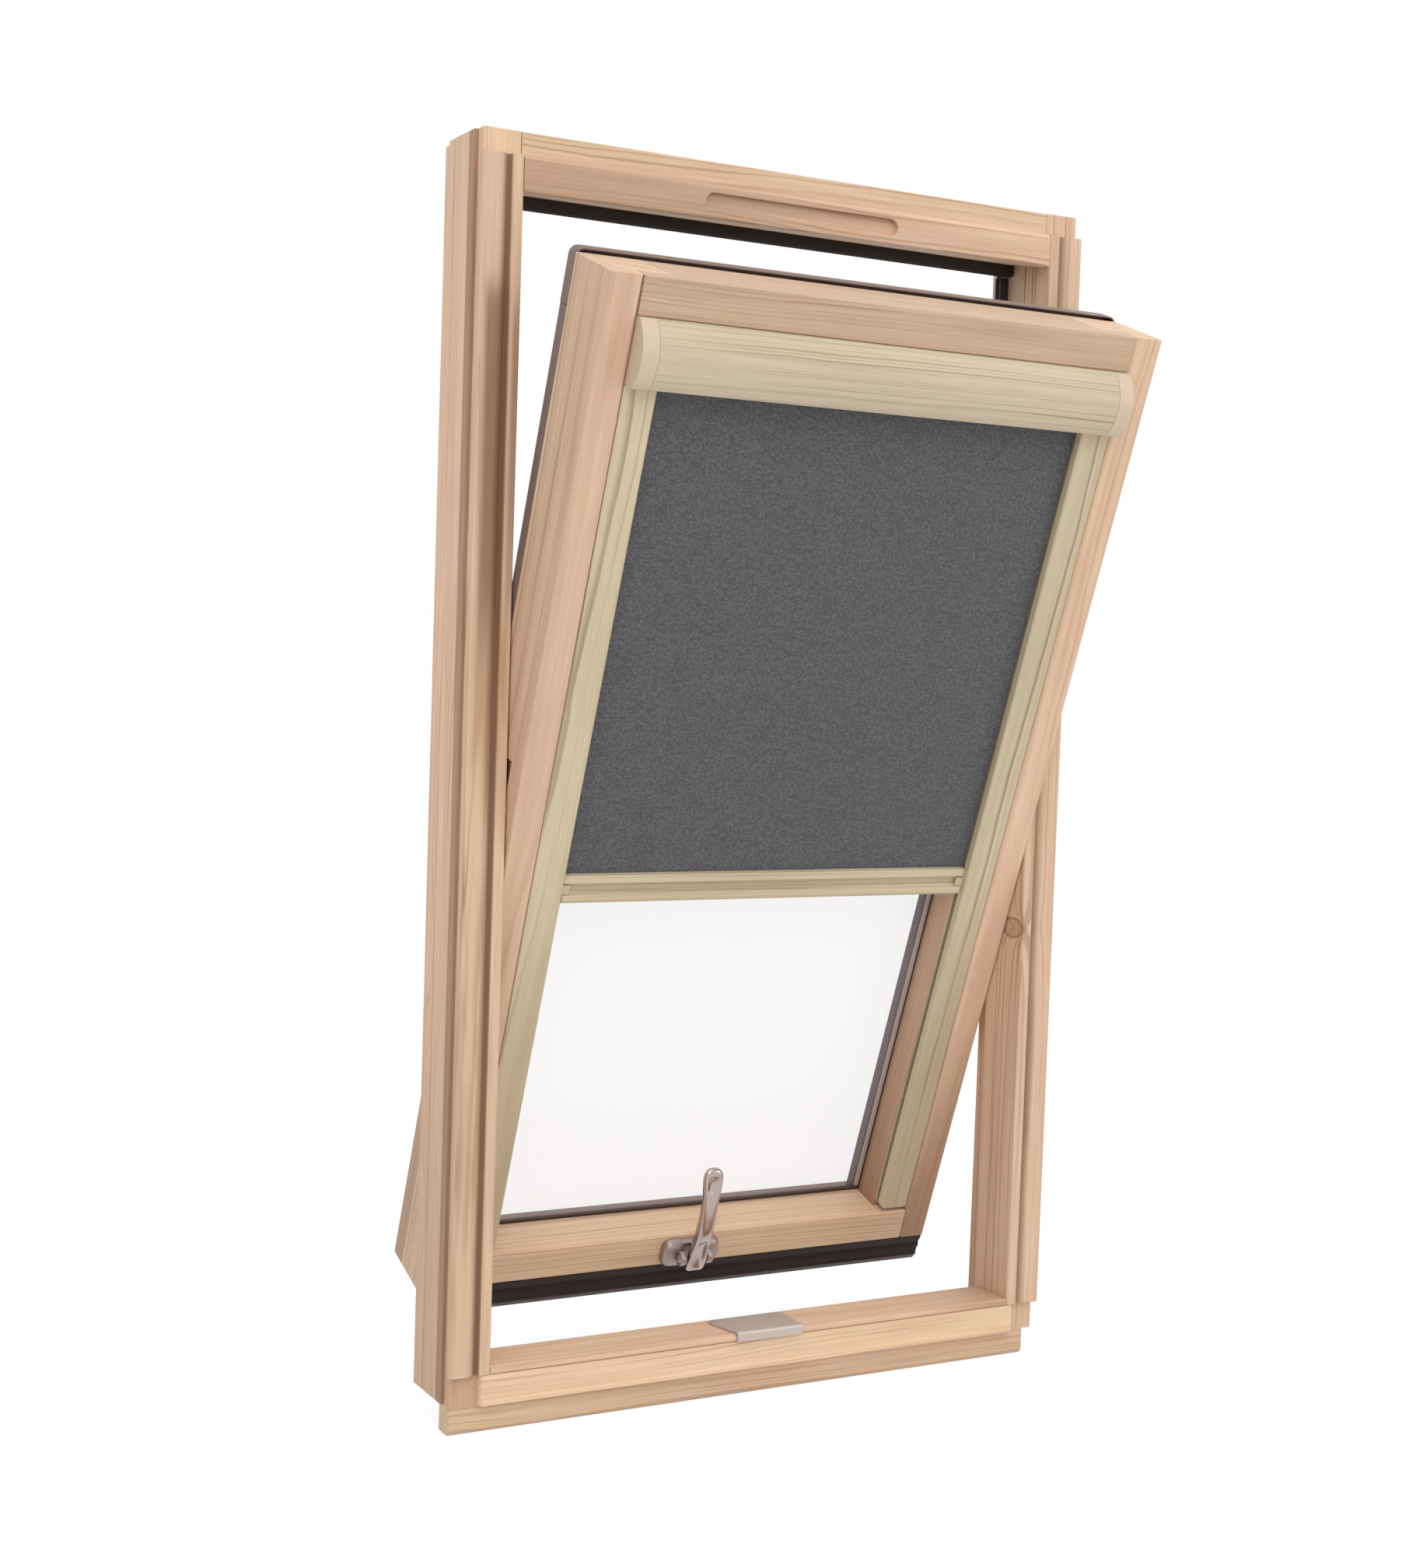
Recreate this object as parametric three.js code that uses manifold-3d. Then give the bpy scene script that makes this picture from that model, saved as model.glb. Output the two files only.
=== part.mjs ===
import * as THREE from "three";
import Module from "manifold-3d";
import { mergeVertices } from "three/addons/utils/BufferGeometryUtils.js";

const wasm = await Module();
wasm.setup();

// Lengths are in millimetres, angles in degrees. X runs to the right as seen from the room,
// Y away from the room and Z up. The frame's front plane is y = 0 and its underside is z = 0.
const fitting = {
  seat: 0.3, // between two pieces that rest on each other
  sashSide: 1.2, // between the sash and each frame stile
  running: 0.1, // round a pin in its bore
  closed: 1.5, // between the closed sash and the side gaskets behind it
  overrun: 3, // how far a cutter passes the face that it cuts
};
const steps = { arc: 4, ring: 32, cove: 6, spline: 16 };

const frameSize = { width: 660, height: 1180, depth: 82 };
const lip = { height: 27, depth: 24, leftInset: 3, rightInset: 13, round: 6 };
const stile = {
  width: 39.5,
  arris: 1.5,
  liningWidth: 3, // groove for the room's lining, at the outer front corner
  liningDepth: 14,
  seamWidth: 1.5,
  seamDepth: 2,
  firstSeam: 19, // places of the fine grooves behind the front plane
  secondSeam: 32,
  flashingSeam: 23, // in front of the back face
  backStripDepth: 8, // the strip along the back whose top lies lower
  backStripDrop: 4,
  rebateWidth: 15, // the lower half is rebated behind the sash
  rebateStart: 50,
  rebateTop: 545,
};
const moulding = {
  proud: 8,
  arris: 1.8,
  flatWidth: 16,
  coveWidth: 10.5,
  coveDepth: 5.5,
  riserWidth: 1.5,
  bottom: 56,
  topInset: 22,
};
const head = { height: 54.5, rise: 9.5, flatRun: 1 }; // flatRun: between the slope and the gasket
const headMoulding = {
  bevelWidth: 2,
  bevelHeight: 3.5,
  bottomRound: 2,
  recessLength: 212,
  recessHeight: 16,
  recessDepth: 5,
  recessLift: 8,
  recessEndShare: 0.98, // of half the recess's height, as the radius of its ends
};
const sill = { top: 63, depth: 50, flatDepth: 42, rearDrop: 2, nosingHeight: 7.2, nosingRound: 3 };
const sillMoulding = {
  proud: 6.5,
  ridgeProud: 8,
  ridgeHeight: 4,
  ridgeSlope: 1.5,
  arris: 1,
  overhang: 9.5, // past the inner faces of the frame stiles
  endRound: 6,
};
const sideGasket = { depth: 13.5, reach: 9, neck: 5, abovePivot: 114.6 };
// Along the side gasket's outline, behind its front edge: two ribs with a neck between them.
const sideGasketShares = [0.1, 0.3, 0.45, 0.65, 0.85];
const headGasket = { fromBack: 29, depth: 8, height: 11.5, notch: 1.5, ribs: 5 };
const trim = { reach: 5, depth: 6.7, round: 1.5 };
const striker = {
  width: 86,
  leftInset: 12, // of the turned-down front from each end of the back edge
  rightInset: 2,
  depth: 38,
  thickness: 2.3,
  drop: 7, // of the turned-down front below the top of the sill
  corner: 7,
  bend: 3.4,
  beadHeight: 0.8,
  beadDepth: 5,
  beadRound: 0.4,
};

// The sash turns on this axis. Its own places are counted from the axis: y is minus towards
// the room, z is minus below the axis.
const pivot = {
  z: 605.4,
  restTilt: 19.9,
  pinRadius: 4.8,
  pinReach: 9, // past the frame's plate, into the stile
  plateThickness: 3,
  plateWidth: 34,
  plateHeight: 84,
  plateRound: 11.3,
  boreSlack: 1,
  sashPlateFront: 60,
  sashPlateHeight: 70,
};
const sash = {
  front: 86,
  ledgeFront: 69, // the ledge that carries the blind's channels
  glassFront: 36,
  woodBack: 10,
  stripBack: 12.5, // of the pine strips behind the lower half, behind the axis
  frontWidth: 30.8,
  ledgeWidth: 64.3,
  rebateWidth: 13,
  lowRebate: 18, // below the pane
  above: 484,
  below: 515,
  topRail: 34,
  bottomRail: 35,
  tailFront: 63,
  tailDrop: 20,
  arris: 2,
  innerArris: 5,
  railArris: 1.2,
  creaseRound: 3,
  ledgeArris: 1.5,
  seamPlace: 68,
};
const glass = {
  thickness: 4,
  cavity: 10,
  edgeGap: 1,
  spacerInset: 3,
  spacerWidth: 14.5,
  spacerLowWidth: 6,
};
const beading = { gasketWidth: 2, gasketHeight: 2, width: 4, lowWidth: 2.5, height: 2.7 };
const cladding = {
  back: 5,
  wall: 1.5,
  round: 1.4,
  coverWidth: 59.3, // from the sash's side to the foot of the lip on the outer pane
  lipWidth: 2,
  lipSlopeShare: 0.76, // sideways for each millimetre that the lip runs back
  topRise: 4,
  topHeight: 50,
  corner: 8,
  sealWidth: 4,
  sealDepth: 3,
};
const drip = {
  front: 84,
  thickness: 14,
  height: 16.7,
  brow: 4, // of the straight part above the hollow front
  hollow: 1.8,
  round: 1.5,
  web: 3,
  flangeFront: 2,
  flangeThickness: 3,
  flangeDrop: 15,
};
// The rubber lip under the drip profile, which bends where it passes over the sill.
const dripSeal = { thickness: 7, height: 16.4, ridgeShare: 0.52, ridge: 1.6, taper: 3, slope: 4 };

const cassette = {
  height: 59,
  bulge: 21, // of the cover in front of the sash
  wall: 1.6,
  capWidth: 16,
  backWall: 2,
  slotFront: 79, // where the underside of the cover ends, in front of the axis
};
// Height and bulge of the cover's front, from its top edge to its lower edge.
const coverShares = [
  [1, 0.19], [0.93, 0.4], [0.78, 0.74], [0.6, 0.95], [0.45, 1], [0.26, 0.94], [0.09, 0.76], [0, 0.57],
];
const roller = {
  tubeRadius: 11,
  tubeWall: 1.2,
  rollRadius: 15,
  plugDepth: 14,
  rimRadius: 13,
  rimThickness: 1.5,
  pinRadius: 3,
  pinReach: 8,
  endGap: 1,
};
const channel = {
  width: 32.2,
  front: 84,
  slotFront: 76,
  slotBack: 70.5,
  slotDepth: 14,
  bottom: 476,
  innerRound: 2,
  outerRound: 1.2,
  footRound: 5,
  topGap: 0.6,
};
const brush = { depth: 2.1, width: 3 };
const cloth = { thickness: 0.6, slotReach: 10 };
const bar = {
  top: 71,
  height: 28,
  back: 66,
  front: 80,
  upperInset: 1,
  upperHeight: 8,
  lowerHeight: 8.5,
  grooveDepth: 4.5,
  round: 1,
  lowerRound: 2.5,
  endGap: 2.2,
};
const clip = {
  plate: 1.5,
  tongue: 10,
  tongueHeight: 11,
  lug: 7,
  lugFront: 79.2,
  lugBack: 76.9,
};
const handle = {
  aside: 7, // of the handle's middle to the left of the sash's
  flange: 7.6, // outside each ear
  height: 29,
  drop: 3, // of the base's upper edge below the rail's
  thickness: 11.7,
  round: 5,
  cornerRound: 11,
  notchHalf: 13.9,
  bridge: 6,
  axisOut: 16, // from the rail's front to the lever's axis
  axisDrop: 15,
  earRadius: 6.5,
  earWidth: 9.5,
  pinRadius: 2.5,
  pinEnd: 1,
  screwRadius: 3,
  screwHeight: 0.9,
};
const lever = {
  above: 110,
  hubRadius: 6,
  hubHalf: 13.5,
  swell: 11,
  faceSet: 1.6, // of the side outline behind the axis
  headHalf: 12,
  channelHalf: 5.5,
  channelEnd: 5,
  channelTop: 62,
  channelBottom: 7,
  channelFloor: 3,
  tipRound: 9,
};
// Along the lever from its axis, then its front face and its back face towards the room,
// as shares of the lever's length and of its swell.
const leverSideShares = [
  [-0.12, 0.66, 0.2], [-0.05, 0.74, 0], [0.05, 0.8, 0], [0.18, 0.8, 0.1], [0.36, 0.66, 0.06],
  [0.54, 0.5, -0.04], [0.72, 0.42, -0.1], [0.88, 0.42, -0.12], [1, 0.4, 0.02],
];
// Along the lever and its half width, as shares of its length and of the head's half width.
const leverFaceShares = [
  [-0.13, 0.66], [0, 0.76], [0.2, 0.72], [0.5, 0.66], [0.68, 0.8], [0.82, 0.98], [0.9, 1], [1.02, 0.72],
];

const half = frameSize.width / 2;
const innerHalf = half - stile.width;
const headBottom = frameSize.height - head.height;
const headSoffit = headBottom + head.rise;
const trimStart = frameSize.depth - trim.depth;
const gasketStart = trimStart - fitting.seat - sideGasket.depth;
const pivotY = gasketStart - fitting.closed - cladding.back;
const gasketBottom = pivot.z + sideGasket.abovePivot;
const headGasketStart = frameSize.depth - headGasket.fromBack;
const sashHalf = innerHalf - fitting.sashSide;
const frontHalf = sashHalf - sash.frontWidth;
const ledgeHalf = sashHalf - sash.ledgeWidth;
const rebateHalf = ledgeHalf + sash.rebateWidth;
const glassHalf = rebateHalf - glass.edgeGap;
const glassTop = sash.above - sash.topRail;
const glassBottom = sash.bottomRail - sash.below;
const paneFront = fitting.seat - sash.glassFront;
const spacerFront = paneFront + glass.thickness + fitting.seat;
const outerPaneFront = spacerFront + glass.cavity + fitting.seat;
const outerPaneBack = outerPaneFront + glass.thickness;
const paneBottom = glassBottom - sash.lowRebate + glass.edgeGap;
const paneTop = glassTop + sash.rebateWidth - glass.edgeGap;
const coverBack = cladding.back - cladding.wall;
const cassetteBottom = glassTop - cassette.height;
const coverHalf = frontHalf - fitting.seat - cassette.capWidth - fitting.seat;
const rollerZ = glassTop - cassette.height / 2;
const brushBack = fitting.seat + brush.depth - channel.slotFront;
const clothY = brushBack + fitting.seat + cloth.thickness / 2;
const rollerY = clothY - roller.rollRadius;
const channelOuter = frontHalf - fitting.seat;
const channelInner = channelOuter - channel.width;
const channelTop = cassetteBottom - channel.topGap;
const barHalf = channelInner - bar.endGap;
const handleHalf = handle.notchHalf + handle.earWidth + handle.flange;
const leverY = -sash.front - handle.axisOut;
const handleTop = glassBottom - handle.drop;
const leverZ = handleTop - handle.axisDrop;

// Outlines: each point is [across, along, radius], and a corner with a radius becomes an arc.
function rounded(corners) {
  const points = [];
  corners.forEach(([x, y, radius], i) => {
    if (!radius) {
      points.push([x, y]);
      return;
    }
    const here = new THREE.Vector2(x, y);
    const before = corners[(i + corners.length - 1) % corners.length];
    const after = corners[(i + 1) % corners.length];
    const back = new THREE.Vector2(before[0], before[1]).sub(here).normalize();
    const on = new THREE.Vector2(after[0], after[1]).sub(here).normalize();
    const halfAngle = Math.acos(THREE.MathUtils.clamp(back.dot(on), -1, 1)) / 2;
    const middle = back.clone().add(on).normalize();
    const centre = here.clone().addScaledVector(middle, radius / Math.sin(halfAngle));
    const start = here.clone().addScaledVector(back, radius / Math.tan(halfAngle)).sub(centre);
    const end = here.clone().addScaledVector(on, radius / Math.tan(halfAngle)).sub(centre);
    const turn = Math.atan2(start.x * end.y - start.y * end.x, start.dot(end));
    for (let k = 0; k <= steps.arc; k += 1) {
      const spoke = start.clone().rotateAround(new THREE.Vector2(), (turn * k) / steps.arc);
      points.push([centre.x + spoke.x, centre.y + spoke.y]);
    }
  });
  return points;
}

function rectangle(left, right, low, high, radius = 0) {
  return [[left, low, radius], [right, low, radius], [right, high, radius], [left, high, radius]];
}

function circle(x, y, radius) {
  return Array.from({ length: steps.ring }, (_, k) => {
    const angle = (2 * Math.PI * (k + 0.5)) / steps.ring;
    return [x + radius * Math.cos(angle), y + radius * Math.sin(angle)];
  });
}

function toSolid(geometry) {
  geometry.deleteAttribute("normal");
  geometry.deleteAttribute("uv");
  const merged = mergeVertices(geometry);
  return new wasm.Manifold(new wasm.Mesh({
    numProp: 3,
    vertProperties: new Float32Array(merged.attributes.position.array),
    triVerts: new Uint32Array(merged.index.array),
  }));
}

function extrusion(corners, length, across, along, out, shift) {
  const shape = new THREE.Shape(rounded(corners).map(([x, y]) => new THREE.Vector2(x, y)));
  const geometry = new THREE.ExtrudeGeometry(shape, { depth: length, bevelEnabled: false });
  geometry.applyMatrix4(new THREE.Matrix4().makeBasis(across, along, out));
  geometry.translate(shift.x, shift.y, shift.z);
  return toSolid(geometry);
}

const axisX = new THREE.Vector3(1, 0, 0);
const axisY = new THREE.Vector3(0, 1, 0);
const axisZ = new THREE.Vector3(0, 0, 1);

// A plan outline in x and y, carried from one height to another.
function upright(corners, low, high) {
  return extrusion(corners, high - low, axisX, axisY, axisZ, new THREE.Vector3(0, 0, low));
}

// A side outline in y and z, carried from left to right.
function level(corners, left, right) {
  return extrusion(corners, right - left, axisY, axisZ, axisX, new THREE.Vector3(left, 0, 0));
}

// A front outline in x and z, carried from its front to its back.
function facing(corners, front, back) {
  const towardsRoom = axisY.clone().negate();
  return extrusion(corners, back - front, axisX, axisZ, towardsRoom, new THREE.Vector3(0, back, 0));
}

function block(left, right, front, back, low, high) {
  return level(rectangle(front, back, low, high), left, right);
}

function ring(outerHalf, low, high, width, lowWidth, front, back) {
  const hole = rectangle(width - outerHalf, outerHalf - width, low + lowWidth, high - width);
  return facing(rectangle(-outerHalf, outerHalf, low, high), front, back)
    .subtract(facing(hole, front - fitting.overrun, back + fitting.overrun));
}

const mirrored = (solid) => solid.mirror([1, 0, 0]);

function addPiece(group, name, solid, look) {
  const mesh = solid.getMesh();
  const geometry = new THREE.BufferGeometry();
  geometry.setAttribute("position", new THREE.BufferAttribute(new Float32Array(mesh.vertProperties), 3));
  geometry.setIndex(new THREE.BufferAttribute(new Uint32Array(mesh.triVerts), 1));
  geometry.computeVertexNormals();
  const piece = new THREE.Mesh(geometry, new THREE.MeshStandardMaterial(look));
  piece.name = name;
  group.add(piece);
}

function addPair(group, name, leftSolid, look) {
  addPiece(group, `${name}_left`, leftSolid, look);
  addPiece(group, `${name}_right`, mirrored(leftSolid), look);
}

const looks = {
  pine: { color: 0xd9b18c, roughness: 0.55 },
  sashPine: { color: 0xdcb592, roughness: 0.55 },
  rubber: { color: 0x1b1a1a, roughness: 0.8 },
  nickel: { color: 0xa7a39c, roughness: 0.35, metalness: 0.9 },
  aluminium: { color: 0x9d9796, roughness: 0.4, metalness: 0.8 },
  taupe: { color: 0x8a7d78, roughness: 0.5, metalness: 0.4 },
  dripBrown: { color: 0x33251f, roughness: 0.5, metalness: 0.3 },
  glass: { color: 0xf3efee, roughness: 0.05, transparent: true, opacity: 0.35 },
  foil: { color: 0xd9ccae, roughness: 0.45 },
  cap: { color: 0xcdbda3, roughness: 0.5 },
  fabric: { color: 0x56535a, roughness: 0.9 },
  brush: { color: 0x8d8063, roughness: 0.95 },
  tube: { color: 0xb9bbbd, roughness: 0.4, metalness: 0.8 },
};

// Frame

function stadium(centreY, centreZ, width, height) {
  const y = width / 2;
  const z = height / 2;
  return rectangle(centreY - y, centreY + y, centreZ - z, centreZ + z, pivot.plateRound);
}

function frameStile() {
  const outer = -half;
  const inner = -innerHalf;
  const groove = inner - stile.seamDepth;
  const flashing = frameSize.depth - stile.flashingSeam;
  const innerSeam = (y) => [[inner, y], [groove, y], [groove, y + stile.seamWidth], [inner, y + stile.seamWidth]];
  const plan = [
    [outer + stile.liningWidth, 0],
    [inner, 0, stile.arris],
    ...innerSeam(stile.firstSeam),
    ...innerSeam(stile.secondSeam),
    [inner, frameSize.depth],
    [outer, frameSize.depth],
    [outer, flashing + stile.seamWidth],
    [outer + stile.seamDepth, flashing + stile.seamWidth],
    [outer + stile.seamDepth, flashing],
    [outer, flashing],
    [outer, stile.liningDepth],
    [outer + stile.liningWidth, stile.liningDepth],
  ];
  const past = fitting.overrun;
  const pocket = pivot.plateThickness + fitting.seat;
  const slack = fitting.seat * 2;
  const pinHole = circle(pivotY, pivot.z, pivot.pinRadius + pivot.boreSlack);
  return upright(plan, lip.height, frameSize.height)
    .subtract(block(inner - stile.rebateWidth, inner + past, stile.rebateStart,
      frameSize.depth + past, lip.height - past, stile.rebateTop))
    .subtract(block(outer - past, inner + past, frameSize.depth - stile.backStripDepth,
      frameSize.depth + past, frameSize.height - stile.backStripDrop, frameSize.height + past))
    .subtract(level(stadium(pivotY, pivot.z, pivot.plateWidth + slack, pivot.plateHeight + slack),
      inner - pocket, inner + past))
    .subtract(level(pinHole, inner - pocket - pivot.pinReach - pivot.boreSlack, inner));
}

function framePivotPlate() {
  const inner = -innerHalf;
  const bore = (pivot.pinRadius + fitting.running) / Math.cos(Math.PI / steps.ring);
  return level(stadium(pivotY, pivot.z, pivot.plateWidth, pivot.plateHeight),
    inner - pivot.plateThickness, inner)
    .subtract(level(circle(pivotY, pivot.z, bore), inner - pivot.plateThickness - fitting.overrun,
      inner + fitting.overrun));
}

function sideMoulding() {
  const outer = -half;
  const coveStart = outer + moulding.flatWidth;
  const coveEnd = coveStart + moulding.coveWidth;
  const cove = Array.from({ length: steps.cove + 1 }, (_, k) => {
    const share = k / steps.cove;
    const sink = moulding.coveDepth * (1 - Math.cos((Math.PI * share) / 2));
    return [coveStart + moulding.coveWidth * share, sink - moulding.proud];
  });
  const plan = [
    [outer, -moulding.proud, moulding.arris],
    ...cove,
    [coveEnd + moulding.riserWidth, -moulding.proud, moulding.riserWidth / 2],
    [-innerHalf, -moulding.proud, moulding.arris],
    [-innerHalf, 0],
    [outer, 0],
  ];
  return upright(plan, moulding.bottom, frameSize.height - moulding.topInset);
}

function frameHead() {
  const side = [
    [0, headBottom],
    [headGasketStart - head.flatRun, headSoffit],
    [frameSize.depth, headSoffit],
    [frameSize.depth, frameSize.height - stile.backStripDrop],
    [frameSize.depth - stile.backStripDepth, frameSize.height - stile.backStripDrop],
    [frameSize.depth - stile.backStripDepth, frameSize.height],
    [0, frameSize.height, stile.arris],
  ];
  return level(side, fitting.seat - innerHalf, innerHalf - fitting.seat);
}

function headMouldingBody() {
  const front = -moulding.proud;
  const top = frameSize.height - moulding.topInset;
  const side = [
    [front, headBottom, headMoulding.bottomRound],
    [0, headBottom],
    [0, top],
    [front + headMoulding.bevelWidth, top],
    [front, top - headMoulding.bevelHeight],
  ];
  const low = headBottom + headMoulding.recessLift;
  const recess = rectangle(-headMoulding.recessLength / 2, headMoulding.recessLength / 2, low,
    low + headMoulding.recessHeight, (headMoulding.recessHeight / 2) * headMoulding.recessEndShare);
  return level(side, fitting.seat - innerHalf, innerHalf - fitting.seat)
    .subtract(facing(recess, front - fitting.overrun, front + headMoulding.recessDepth));
}

function frameSill() {
  const side = [
    [0, lip.height],
    [sill.depth, lip.height],
    [sill.depth, sill.top - sill.rearDrop],
    [sill.flatDepth, sill.top],
    [-moulding.proud, sill.top, sill.nosingRound],
    [-moulding.proud, sill.top - sill.nosingHeight, sill.nosingRound],
    [0, sill.top - sill.nosingHeight],
  ];
  return level(side, fitting.seat - innerHalf, innerHalf - fitting.seat);
}

function sillMouldingBody() {
  const front = -sillMoulding.proud;
  const top = sill.top - sill.nosingHeight - fitting.seat;
  const ridgeTop = lip.height + sillMoulding.ridgeHeight;
  const side = [
    [-sillMoulding.ridgeProud, lip.height, sillMoulding.arris],
    [0, lip.height],
    [0, top],
    [front, top, sillMoulding.arris],
    [front, ridgeTop + sillMoulding.ridgeSlope],
    [-sillMoulding.ridgeProud, ridgeTop],
  ];
  const reach = innerHalf + sillMoulding.overhang;
  const plan = [
    [-reach, -sillMoulding.ridgeProud, sillMoulding.endRound],
    [reach, -sillMoulding.ridgeProud, sillMoulding.endRound],
    [reach, 0],
    [-reach, 0],
  ];
  const past = fitting.overrun;
  return level(side, -reach, reach).intersect(upright(plan, lip.height - past, top + past));
}

function bottomLip() {
  const side = [[0, 0, lip.round], [lip.depth, 0], [lip.depth, lip.height], [0, lip.height]];
  return level(side, lip.leftInset - half, half - lip.rightInset);
}

function sideGasketBody() {
  const [ribStart, ribEnd, dip, nextStart, nextEnd] = sideGasketShares.map(
    (share) => gasketStart + sideGasket.depth * share,
  );
  const wall = -innerHalf;
  const reach = wall + sideGasket.reach;
  const neck = wall + sideGasket.neck;
  const plan = [
    [wall, gasketStart],
    [reach, ribStart],
    [reach, ribEnd],
    [neck, dip],
    [reach, nextStart],
    [reach, nextEnd],
    [neck, gasketStart + sideGasket.depth],
    [wall, gasketStart + sideGasket.depth],
  ];
  return upright(plan, gasketBottom, headSoffit - headGasket.height - fitting.seat);
}

function headGasketBody() {
  const start = headGasketStart;
  const low = headSoffit - headGasket.height;
  const teeth = Array.from({ length: headGasket.ribs + 1 }, (_, k) => [
    start + (headGasket.depth * k) / headGasket.ribs,
    k % 2 ? low : low + headGasket.notch,
  ]);
  const side = [[start, headSoffit], ...teeth, [start + headGasket.depth, headSoffit]];
  return level(side, fitting.seat - innerHalf, innerHalf - fitting.seat);
}

function sideTrim() {
  const plan = [
    [-innerHalf, trimStart],
    [trim.reach - innerHalf, trimStart, trim.round],
    [trim.reach - innerHalf, frameSize.depth],
    [-innerHalf, frameSize.depth],
  ];
  return upright(plan, gasketBottom, headSoffit - trim.reach - fitting.seat);
}

function headTrim() {
  const low = headSoffit - trim.reach;
  const side = [
    [trimStart, low, trim.round],
    [frameSize.depth, low],
    [frameSize.depth, headSoffit],
    [trimStart, headSoffit],
  ];
  return level(side, fitting.seat - innerHalf, innerHalf - fitting.seat);
}

function strikerPlate() {
  const back = striker.depth;
  const front = -moulding.proud - fitting.seat;
  const face = front - striker.thickness;
  const top = sill.top + striker.thickness;
  const low = sill.top - striker.drop;
  const crest = top + striker.beadHeight;
  const side = [
    [back, sill.top],
    [back, top, striker.bend / 2],
    [face + striker.beadDepth + striker.beadHeight, top],
    [face + striker.beadDepth, crest, striker.beadRound],
    [face, crest, striker.bend],
    [face, low],
    [front, low],
    [front, sill.top],
  ];
  const reach = striker.width / 2;
  const past = fitting.overrun;
  const plan = [
    [striker.leftInset - reach, face - past],
    [reach - striker.rightInset, face - past],
    [reach, back, striker.corner],
    [-reach, back, striker.corner],
  ];
  return level(side, -reach, reach).intersect(upright(plan, low - past, crest + past));
}

// Sash, counted from its turning axis

function sashStile() {
  const outer = -sashHalf;
  const past = fitting.overrun;
  const groove = outer + stile.seamDepth;
  const plan = [
    [outer, -sash.front, sash.arris],
    [-frontHalf, -sash.front, sash.innerArris],
    [-frontHalf, -sash.ledgeFront],
    [-ledgeHalf, -sash.ledgeFront, sash.ledgeArris],
    [-ledgeHalf, -sash.woodBack],
    [outer, -sash.woodBack],
    [outer, stile.seamWidth - sash.seamPlace],
    [groove, stile.seamWidth - sash.seamPlace],
    [groove, -sash.seamPlace],
    [outer, -sash.seamPlace],
  ];
  const end = sash.below + sash.tailDrop;
  const pocketHalf = pivot.sashPlateHeight / 2 + fitting.seat;
  return upright(plan, -end, sash.above)
    .subtract(block(outer - past, past - ledgeHalf, -sash.front - past, -sash.tailFront,
      -end - past, -sash.below))
    .subtract(block(-rebateHalf, past - ledgeHalf, -sash.glassFront, past - sash.woodBack,
      glassBottom - sash.lowRebate, glassTop + sash.rebateWidth))
    .subtract(block(outer - past, outer + pivot.plateThickness + fitting.seat,
      -pivot.sashPlateFront - fitting.seat, past - sash.woodBack, -pocketHalf, pocketHalf));
}

function topRail() {
  const frontReach = frontHalf - fitting.seat;
  const rearReach = ledgeHalf - fitting.seat;
  const split = -sash.ledgeFront - fitting.seat;
  const frontSide = [
    [-sash.front, glassTop, sash.railArris],
    [split, glassTop],
    [split, sash.above],
    [-sash.front, sash.above, sash.railArris],
  ];
  const rearSide = [
    [split, glassTop],
    [-sash.glassFront, glassTop],
    [-sash.glassFront, glassTop + sash.rebateWidth],
    [-sash.woodBack, glassTop + sash.rebateWidth],
    [-sash.woodBack, sash.above],
    [split, sash.above],
  ];
  return level(frontSide, -frontReach, frontReach).add(level(rearSide, -rearReach, rearReach));
}

function bottomRail() {
  const frontReach = frontHalf - fitting.seat;
  const rearReach = ledgeHalf - fitting.seat;
  const split = -sash.ledgeFront - fitting.seat;
  const frontSide = [
    [-sash.front, -sash.below, sash.railArris],
    [split, -sash.below],
    [split, glassBottom],
    [-sash.front, glassBottom, sash.creaseRound],
  ];
  const rearSide = [
    [split, -sash.below],
    [-sash.woodBack, -sash.below],
    [-sash.woodBack, glassBottom - sash.lowRebate],
    [-sash.glassFront, glassBottom - sash.lowRebate],
    [-sash.glassFront, glassBottom],
    [split, glassBottom],
  ];
  return level(frontSide, -frontReach, frontReach).add(level(rearSide, -rearReach, rearReach));
}

function pane(front) {
  return block(-glassHalf, glassHalf, front, front + glass.thickness, paneBottom, paneTop);
}

function spacerFrame() {
  const inset = glass.spacerInset;
  return ring(glassHalf - inset, paneBottom + inset, paneTop - inset, glass.spacerWidth,
    glass.spacerLowWidth, spacerFront, spacerFront + glass.cavity);
}

function glazingGasket() {
  const back = paneFront - fitting.seat;
  const gap = fitting.seat;
  return ring(ledgeHalf - gap, glassBottom + gap, glassTop - gap, beading.gasketWidth,
    beading.gasketWidth, back - beading.gasketHeight, back);
}

function glazingBead() {
  const back = paneFront - fitting.seat;
  const inset = fitting.seat * 2 + beading.gasketWidth;
  return ring(ledgeHalf - inset, glassBottom + inset, glassTop - inset, beading.width,
    beading.lowWidth, back - beading.height, back);
}

const coverFront = fitting.seat - sash.woodBack;
const coverSideTop = sash.above + cladding.topRise - cladding.topHeight;
const notchHalf = pivot.sashPlateHeight / 2 + fitting.seat;
const lipFront = outerPaneBack + fitting.seat + cladding.sealDepth + fitting.seat;
const lipInner = sashHalf - cladding.coverWidth;
// Half the width between the lips on both sides, at a place y behind or before the axis.
const lipAt = (y) => lipInner + (y - lipFront) * cladding.lipSlopeShare;

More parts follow.
